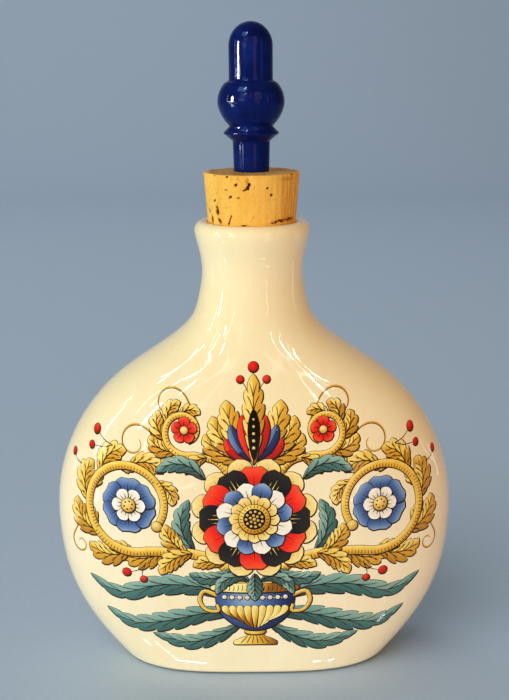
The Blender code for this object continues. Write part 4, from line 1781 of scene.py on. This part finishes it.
def natural_cork():
    """Cork: growth layers, cell grain and brown lenticel pores, whose near-black insides are partly painted
    shade. The mesh carries how dark its modelled pores and marks are."""
    look = Look("natural_cork")
    pit, stain = look.attribute("pit")["Fac"], look.attribute("stain")["Fac"]
    layers = look.noise(260.0, 4.0, 0.62, look.mapped((1.0, 0.28, 0.10), (0, 0, 24)), 0.35)
    cloud = look.noise(120.0, 4.0, 0.6)
    base = look.ramp(
        layers, (0.28, (0.700, 0.345, 0.052)), (0.45, (0.860, 0.475, 0.082)),
        (0.60, (0.930, 0.550, 0.112)), (0.78, (0.960, 0.620, 0.150)),
    )
    base = look.mix(look.ramp(cloud, (0.42, 0.0), (0.75, 0.6)), base, (0.830, 0.410, 0.055))
    # darker fine streaks, only up the right-hand side, where they also paint the shade of that side
    x = look.split(look.place)[0]
    side = look.spread_to(x, 0.0018, 0.0066, 0.0, 1.0)
    streaks_and_side_shade = look.noise(1500.0, 3.0, 0.6, look.mapped((1.0, 1.0, 0.05)))
    streaks_and_side_shade = look.math("MULTIPLY", look.ramp(streaks_and_side_shade, (0.40, 0.0), (0.62, 0.75)), side)
    base = look.mix(streaks_and_side_shade, base, (0.560, 0.240, 0.030))
    grain = look.noise(2300.0, 4.0, 0.7)
    base = look.mix(0.38, base, look.ramp(grain, (0.30, 0.60), (0.62, 1.0)), "MULTIPLY")
    # the cut ends are browner than the side
    z = look.split(look.place)[2]
    end = look.math("GREATER_THAN", look.math("ABSOLUTE", look.math("SUBTRACT", z, 0.08385)),
                    0.00922)
    rings = look.noise(420.0, 4.0, 0.65, look.mapped((1.0, 0.22, 1.0), (0, 0, -28)), 0.3)
    worn = look.ramp(rings, (0.30, (0.300, 0.150, 0.045)), (0.70, (0.620, 0.370, 0.130)))
    base = look.mix(look.math("MULTIPLY", end, 0.8), base, worn)
    # small pores and flecks between the modelled ones
    far, tone = look.cells(640.0, look.mapped((1.0, 1.0, 0.45), (0, 0, 15)))
    small = look.math(
        "MULTIPLY", look.ramp(far, (0.0, 1.0), (0.14, 0.8), (0.24, 0.0)),
        look.ramp(look.split(tone)[0], (0.86, 0.0), (0.92, 1.0)),
    )
    broken = look.ramp(look.noise(1500.0, 3.0, 0.7), (0.40, 0.0), (0.60, 1.0))
    small = look.math("MULTIPLY", small, broken)
    base = look.mix(look.math("MULTIPLY", small, 0.55), base, (0.300, 0.110, 0.020))
    # brown stains round the pores and marks, with the painted shadow beside the big pore
    soft = look.math("MULTIPLY", stain, look.ramp(look.noise(900.0, 3.0, 0.65), (0.30, 0.35), (0.62, 1.0)))
    base = look.mix(look.math("MULTIPLY", soft, 0.9), base, (0.330, 0.125, 0.020))
    # the pores' dark: their own brown, and painted shade in the recess
    dark = look.mix(
        look.noise(1800.0, 3.0, 0.6), (0.058, 0.009, 0.005), (0.190, 0.045, 0.014)
    )
    base = look.mix(look.ramp(pit, (0.12, 0.0), (0.62, 1.0)), base, dark)
    rough = look.spread_to(grain, 0.3, 0.7, 0.88, 0.58)
    normal = look.bump(grain, 0.00008, 0.7)
    normal = look.bump(layers, 0.00018, 0.45, normal)
    normal = look.bump(look.math("MULTIPLY", streaks_and_side_shade, -1.0), 0.00010, 0.6, normal)
    normal = look.bump(look.math("MULTIPLY", small, -1.0), 0.00030, 0.8, normal)
    look.shine(
        Base_Color=base, Roughness=rough, Normal=normal, IOR=1.4, Specular_IOR_Level=0.15
    )
    return look.material


def floor_paper():
    look = Look("floor_paper")
    fibre = look.noise(900.0, 4.0, 0.6)
    base = look.ramp(fibre, (0.3, (0.470, 0.585, 0.740)), (0.7, (0.500, 0.615, 0.770)))
    look.shine(Base_Color=base, Roughness=0.55, Normal=look.bump(fibre, 0.00005, 0.2))
    return look.material


# ---------------------------------------------------------------------------
# stage, lights, camera
# ---------------------------------------------------------------------------
def build_stage():
    """A pale sheet that lies flat under the bottle and sweeps up far behind it."""
    half, front, bend, rise = 1.9, -1.9, 0.45, 1.7
    start = 0.75
    profile = [(front, 0.0), (-0.6, 0.0), (start, 0.0)]
    for t in np.radians(spread(0.0, 90.0, 24))[1:]:
        profile.append((start + bend * math.sin(t), bend * (1.0 - math.cos(t))))
    profile.append((start + bend, rise))
    verts = [(x, y, z) for y, z in profile for x in (-half, half)]
    faces = [
        (2 * i, 2 * i + 1, 2 * i + 3, 2 * i + 2) for i in range(len(profile) - 1)
    ]
    mesh = bpy.data.meshes.new("floor")
    mesh.from_pydata(verts, [], faces)
    mesh.polygons.foreach_set("use_smooth", np.ones(len(faces), bool))
    floor = new_object("floor", mesh)
    floor.location.z = -0.00002
    mesh.materials.append(floor_paper())
    return floor


def lamp(name, azimuth, elevation, distance, width, height, radiance, colour,
         middle=(0.0, 0.0, 0.055)):
    """A soft rectangular lamp: azimuth from the viewer's side, to the right."""
    data = bpy.data.lights.new(name, "AREA")
    data.shape = "RECTANGLE"
    data.size, data.size_y = width, height
    data.energy = radiance * math.pi * width * height
    data.color = colour
    ob = new_object(name, data)
    a, e = math.radians(azimuth), math.radians(elevation)
    way = Vector((math.sin(a) * math.cos(e), -math.cos(a) * math.cos(e), math.sin(e)))
    ob.location = Vector(middle) + way * distance
    ob.rotation_mode = "QUATERNION"
    ob.rotation_quaternion = (-way).to_track_quat("-Z", "Y")
    ob.visible_camera = False
    return ob


def tube(name, start, end, width, radiance, colour):
    """A thin soft lamp from one place to another, in mm, that faces the bottle."""
    a, b = Vector(start) * MM, Vector(end) * MM
    middle, along = (a + b) / 2, (b - a).normalized()
    way = Vector((0.0, 0.0, 0.055)) - middle
    facing = (way - along * way.dot(along)).normalized()
    data = bpy.data.lights.new(name, "AREA")
    data.shape = "RECTANGLE"
    data.size, data.size_y = width * MM, (b - a).length
    data.energy = radiance * math.pi * data.size * data.size_y
    data.color = colour
    ob = new_object(name, data)
    ob.location = middle
    turn = Matrix((along.cross(-facing), along, -facing)).transposed()
    ob.rotation_mode = "QUATERNION"
    ob.rotation_quaternion = turn.to_quaternion()
    ob.visible_camera = False
    return ob


def light_only(ob, name, *targets):
    """Keeps a lamp for some objects."""
    group = bpy.data.collections.get(name) or bpy.data.collections.new(name)
    for target in targets:
        if target.name not in group.objects:
            group.objects.link(target)
    ob.light_linking.receiver_collection = group


def glint_only(ob, piece):
    """Keeps a lamp for the gloss of one piece, and out of its shading."""
    ob.visible_diffuse = False
    light_only(ob, "glints_" + piece.name, piece)


# thin lamps, whose crisp glints lie on the glaze: ends in mm, width, radiance; the
# last ones are low, for the foot
TUBES = (
    ("neck_left_a", (-560, -237, 55), (-559, -239, 64), 26.7, 21.6),
    ("neck_left_b", (-559, -239, 64), (-561, -231, 120), 26.2, 21.6),
    ("neck_left_end", (-566, -154, 231), (-534, -143, 320), 28.0, 5.3),
    ("neck_inner_a", (-350, -498, 58), (-362, -484, 146), 15.1, 5.3),
    ("neck_inner_b", (-362, -484, 146), (-342, -455, 285), 14.3, 6.5),
    ("neck_inner_two", (-422, -428, 167), (-374, -430, 283), 23.8, 20.4),
    ("neck_inner_end", (-309, -473, 295), (-270, -477, 332), 16.8, 20.4),
    ("shoulder_left_a", (-447, -216, 418), (-433, -211, 437), 19.5, 21.6),
    ("shoulder_left_b", (-433, -211, 437), (-416, -195, 463), 17.5, 14.6),
    ("shoulder_left_c", (-416, -195, 463), (-448, -147, 451), 9.4, 14.6),
    ("shoulder_left_two_a", (-292, -440, 369), (-356, -370, 393), 5.0, 21.6),
    ("shoulder_left_two_b", (-356, -370, 393), (-394, -369, 353), 14.3, 14.6),
    ("shoulder_left_two_c", (-394, -369, 353), (-427, -385, 283), 11.6, 9.4),
    ("shoulder_left_three_a", (-397, -331, 390), (-446, -311, 348), 11.9, 9.4),
    ("shoulder_left_three_b", (-446, -311, 348), (-481, -331, 265), 10.0, 7.9),
    ("shoulder_end", (-525, -118, 362), (-558, -98, 310), 14.9, 7.9),
    ("side_left_a", (-572, -150, 251), (-595, -158, 171), 16.6, 22.8),
    ("side_left_b", (-595, -158, 171), (-604, -174, 80), 15.2, 22.8),
    ("inner_left_a", (-104, -568, 259), (-168, -541, 290), 5.0, 2.3),
    ("inner_left_b", (-168, -541, 290), (-248, -506, 300), 5.2, 2.7),
    ("inner_left_two", (-150, -553, 272), (-176, -536, 296), 5.0, 1.3),
    ("neck_middle_a", (224, -339, 9), (200, -360, 55), 9.5, 2.6),
    ("neck_middle_b", (297, -531, 46), (247, -557, 60), 5.0, 4.2),
    ("neck_soft_a", (-192, -578, 83), (-159, -572, 204), 30.7, 1.0),
    ("neck_soft_b", (-159, -572, 204), (-132, -564, 257), 22.8, 1.0),
    ("shoulder_right_a", (309, -475, 290), (288, -468, 329), 19.5, 22.8),
    ("shoulder_right_b", (288, -468, 329), (286, -449, 361), 14.8, 21.6),
    ("inner_right", (257, -540, 187), (229, -533, 253), 15.7, 11.0),
    ("inner_right_two_a", (229, -533, 253), (225, -518, 295), 11.0, 5.3),
    ("inner_right_two_b", (225, -518, 295), (233, -500, 324), 7.3, 5.3),
    ("inner_right_two_c", (233, -500, 324), (281, -459, 351), 5.0, 5.3),
    ("shoulder_right_two_a", (311, -418, 380), (330, -406, 378), 12.2, 22.8),
    ("shoulder_right_two_b", (330, -406, 378), (359, -380, 380), 10.5, 21.6),
    ("shoulder_right_three", (303, -437, 363), (364, -407, 340), 8.6, 4.2),
    ("inner_right_three_a", (69, -583, 230), (103, -570, 256), 5.0, 2.0),
    ("inner_right_three_b", (103, -570, 256), (165, -542, 290), 5.0, 2.3),
    ("inner_right_three_c", (165, -542, 290), (220, -516, 305), 5.0, 2.0),
    ("shoulder_right_end_a", (290, -487, 294), (367, -453, 258), 7.9, 6.5),
    ("shoulder_right_end_b", (367, -453, 258), (394, -454, 202), 8.0, 5.3),
    ("foot_left_a", (-15.7, -12.0, 1.4), (-13.8, -12.3, 1.2), 0.21, 21.6),
    ("foot_left_b", (-13.7, -12.3, 1.3), (-9.3, -12.8, 1.2), 0.2, 20.4),
    ("foot_right", (11.0, -12.6, 1.2), (12.6, -12.4, 1.3), 0.25, 22.8),
    ("foot_right_end", (14.1, -12.0, 1.2), (15.3, -11.9, 1.5), 0.26, 16.6),
    ("low_right", (31.1, -14.3, 2.9), (29.2, -14.8, 1.2), 0.41, 22.8),
    ("low_left", (-23.7, -12.4, 2.6), (-22.2, -12.5, 1.2), 0.38, 6.5),
    ("low_left_two", (-19.8, -12.6, 4.9), (-16.0, -12.4, 1.2), 0.33, 4.2),
    ("right_line_a", (197, 21, 11), (192, 50, 9), 1.8, 0.6),
    ("right_line_b", (192, 50, 9), (205, 40, 51), 9.7, 1.6),
    ("right_line_c", (546, 120, 9), (564, 26, 67), 13.0, 1.9),
    ("right_line_d", (606, 28, 67), (605, 37, 112), 24.4, 1.3),
    ("left_line", (-274, 52, 9), (-285, 35, 57), 13.3, 1.4),
    ("soft_line", (-98, -259, 9), (-108, -264, 60), 14.3, 1.3),
    ("lip_dot_a", (-116.7, -62.8, 18.2), (-114.6, -55.6, 9.0), 4.65, 5.7),
    ("lip_dot_b", (-60.1, -109.5, 12.1), (-43.5, -115.2, 9.0), 3.23, 1.7),
    ("lip_dot_c", (38.7, -109.8, 9.0), (56.3, -102.0, 9.4), 2.62, 3.2),
    ("lip_dot_d", (90, -146, 9), (105, -135, 9), 6.3, 2.5),
    ("lip_dot_e", (163, -338, 10), (196, -319, 9), 8.5, 2.7),
    ("lip_left", (-225, -70, 27), (-195, -124, 9), 6.6, 1.3),
    ("lip_middle", (-277, -224, 18), (-203, -291, 9), 6.9, 1.2),
    ("row_a", (-134.0, -64.2, 16.5), (-123.3, -76.6, 9.0), 2.51, 1.4),
    ("row_b", (-113, -133, 15), (-94, -145, 9), 2.6, 3.0),
    ("row_c", (-45.8, -134.7, 9.0), (-33.3, -139.8, 11.6), 2.34, 2.1),
    ("row_d", (55, -140, 9), (88, -125, 14), 2.4, 2.7),
)

# what the polished knob mirrors: azimuth, elevation, width and height in degrees
# as seen from it, radiance and colour
KNOB_GLINTS = (
    ("streak", -67.0, 7.8, 9.5, 20.4, 170.0, (1.0, 0.99, 0.95)),
    ("streak_foot", -71.0, -0.9, 28.0, 0.9, 150.0, (1.0, 0.97, 0.92)),
    ("ball_left", -68.0, -17.0, 9.0, 8.0, 38.0, (0.95, 0.97, 1.0)),
    ("ball_soft", -68.0, -17.0, 13.0, 13.0, 7.0, (0.60, 0.74, 1.0)),
    ("left_rim", -88.0, 8.0, 2.5, 24.0, 16.0, (0.70, 0.84, 1.0)),
    ("stem_left", -74.0, -7.4, 12.0, 3.0, 48.0, (0.85, 0.90, 1.0)),
    ("stem_left_two", -54.0, -9.0, 4.0, 2.6, 34.0, (0.80, 0.86, 1.0)),
    ("dome_spot", -20.4, 32.6, 2.2, 2.6, 110.0, (0.96, 0.98, 1.0)),
    ("dome_soft", -30.0, 57.0, 6.0, 9.0, 50.0, (0.72, 0.86, 1.0)),
    ("soft_left", -32.0, 22.0, 22.0, 34.0, 1.6, (0.36, 0.50, 1.0)),
    ("soft_left_low", -33.0, 8.0, 18.0, 12.0, 7.0, (0.30, 0.48, 1.0)),
    ("soft_left_high", -42.0, 50.0, 26.0, 18.0, 14.0, (0.22, 0.52, 1.0)),
    ("soft_middle", -2.0, 26.0, 8.0, 22.0, 1.6, (0.85, 0.48, 0.80)),
    ("soft_middle_left", -26.0, 27.0, 22.0, 14.0, 1.9, (0.95, 0.50, 0.80)),
    ("soft_right", 25.0, 26.0, 24.0, 30.0, 2.2, (0.95, 0.50, 0.76)),
    ("soft_right_low", 21.0, 0.0, 16.0, 22.0, 1.9, (0.80, 0.50, 0.85)),
    ("far_right", 58.0, 10.0, 6.0, 30.0, 1.8, (0.60, 0.50, 0.90)),
    ("under_ball", 14.0, -52.0, 60.0, 14.0, 3.4, (0.40, 0.62, 1.0)),
)


def build_world():
    """Dim warm light all round; behind the sheet the eye meets a pale grey."""
    world = bpy.data.worlds.new("studio")
    bpy.context.scene.world = world
    world.use_nodes = True
    nodes, links = world.node_tree.nodes, world.node_tree.links
    around = nodes["Background"]
    around.inputs["Color"].default_value = (0.74, 0.67, 0.56, 1)
    around.inputs["Strength"].default_value = 0.20
    seen = nodes.new("ShaderNodeBackground")
    seen.inputs["Color"].default_value = (0.33, 0.38, 0.44, 1)
    chooser = nodes.new("ShaderNodeMixShader")
    links.new(nodes.new("ShaderNodeLightPath").outputs["Is Camera Ray"], chooser.inputs[0])
    links.new(around.outputs[0], chooser.inputs[1])
    links.new(seen.outputs[0], chooser.inputs[2])
    links.new(chooser.outputs[0], nodes["World Output"].inputs["Surface"])


def build_lights(flask, cork, knob, floor):
    build_world()
    # the broad lamps give no glint of their own
    bottle = (
        lamp("key", -50, 15, 0.95, 1.1, 0.6, 3.86, (0.99, 1.0, 0.96)),
        lamp("front", 0, 5, 1.20, 1.1, 0.35, 4.2, (1.0, 0.96, 0.88)),
        lamp("fill", 58, 15, 1.10, 1.0, 0.6, 2.35, (1.0, 0.42, 0.09)),
        lamp("side", -106, 12, 0.95, 0.5, 0.8, 1.25, (1.0, 1.0, 0.96)),
        lamp("rear", 172, 28, 1.10, 0.9, 0.8, 1.9, (0.99, 0.99, 0.95)),
    )
    sheet = (
        lamp("sheet_key", -38, 44, 1.30, 1.1, 1.0, 2.6, (0.99, 1.0, 0.97)),
        lamp("wall_wash", -140, 62, 1.10, 0.9, 0.7, 1.6, (0.95, 0.98, 1.0)),
    )
    both = (lamp("top", 0, 78, 1.20, 0.9, 0.9, 0.40, (1.0, 0.88, 0.60)),)
    for ob in bottle:
        light_only(ob, "bottle_lit", flask, cork, knob)
    for name in ("fill", "side"):
        light_only(bpy.data.objects[name], "side_lit", flask, cork)
    for ob in sheet:
        light_only(ob, "sheet_lit", floor)
    for ob in bottle + sheet + both:
        ob.visible_glossy = False
    wash = bpy.data.objects["wall_wash"]
    wash.rotation_quaternion = (Vector((0.1, 1.2, 0.45)) - wash.location).to_track_quat("-Z", "Y")
    for name, start, end, width, radiance in TUBES:
        glint_only(tube("tube_" + name, start, end, width, radiance, (1.0, 0.98, 0.94)), flask)
    reach = 0.25
    for name, azimuth, elevation, width, height, radiance, colour in KNOB_GLINTS:
        size = [2 * reach * math.tan(math.radians(v / 2)) for v in (width, height)]
        glint_only(
            lamp("knob_" + name, azimuth, elevation, reach, *size, radiance, colour,
                 (0.0, 0.0, 0.110)),
            knob,
        )


def build_camera():
    data = bpy.data.cameras.new("camera")
    data.lens = 54.0
    data.sensor_width = 36.0
    data.sensor_fit = "AUTO"
    data.clip_start = 0.01
    camera = new_object("camera", data)
    camera.location = (0.0, -0.187, 0.1102)
    pitch, yaw, roll = math.radians(14.9), math.radians(-0.087), math.radians(-0.43)
    camera.rotation_mode = "QUATERNION"
    base = Euler((math.radians(90) - pitch, 0, yaw), "XYZ").to_quaternion()
    camera.rotation_quaternion = base @ Quaternion((0, 0, 1), roll)
    bpy.context.scene.camera = camera


build_camera()
floor = build_stage()
bpy.context.scene.view_settings.view_transform = "Standard"

flask = build_flask([glaze_cream(), print_enamel(), glaze_inside(), foot_unglazed()])
cork = build_cork(natural_cork())
knob = build_knob(blue_lacquer())
build_lights(flask, cork, knob, floor)

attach(flask, "flask")
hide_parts("flask")
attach(cork, "stopper")
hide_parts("cork")
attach(knob, "stopper")
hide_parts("knob")
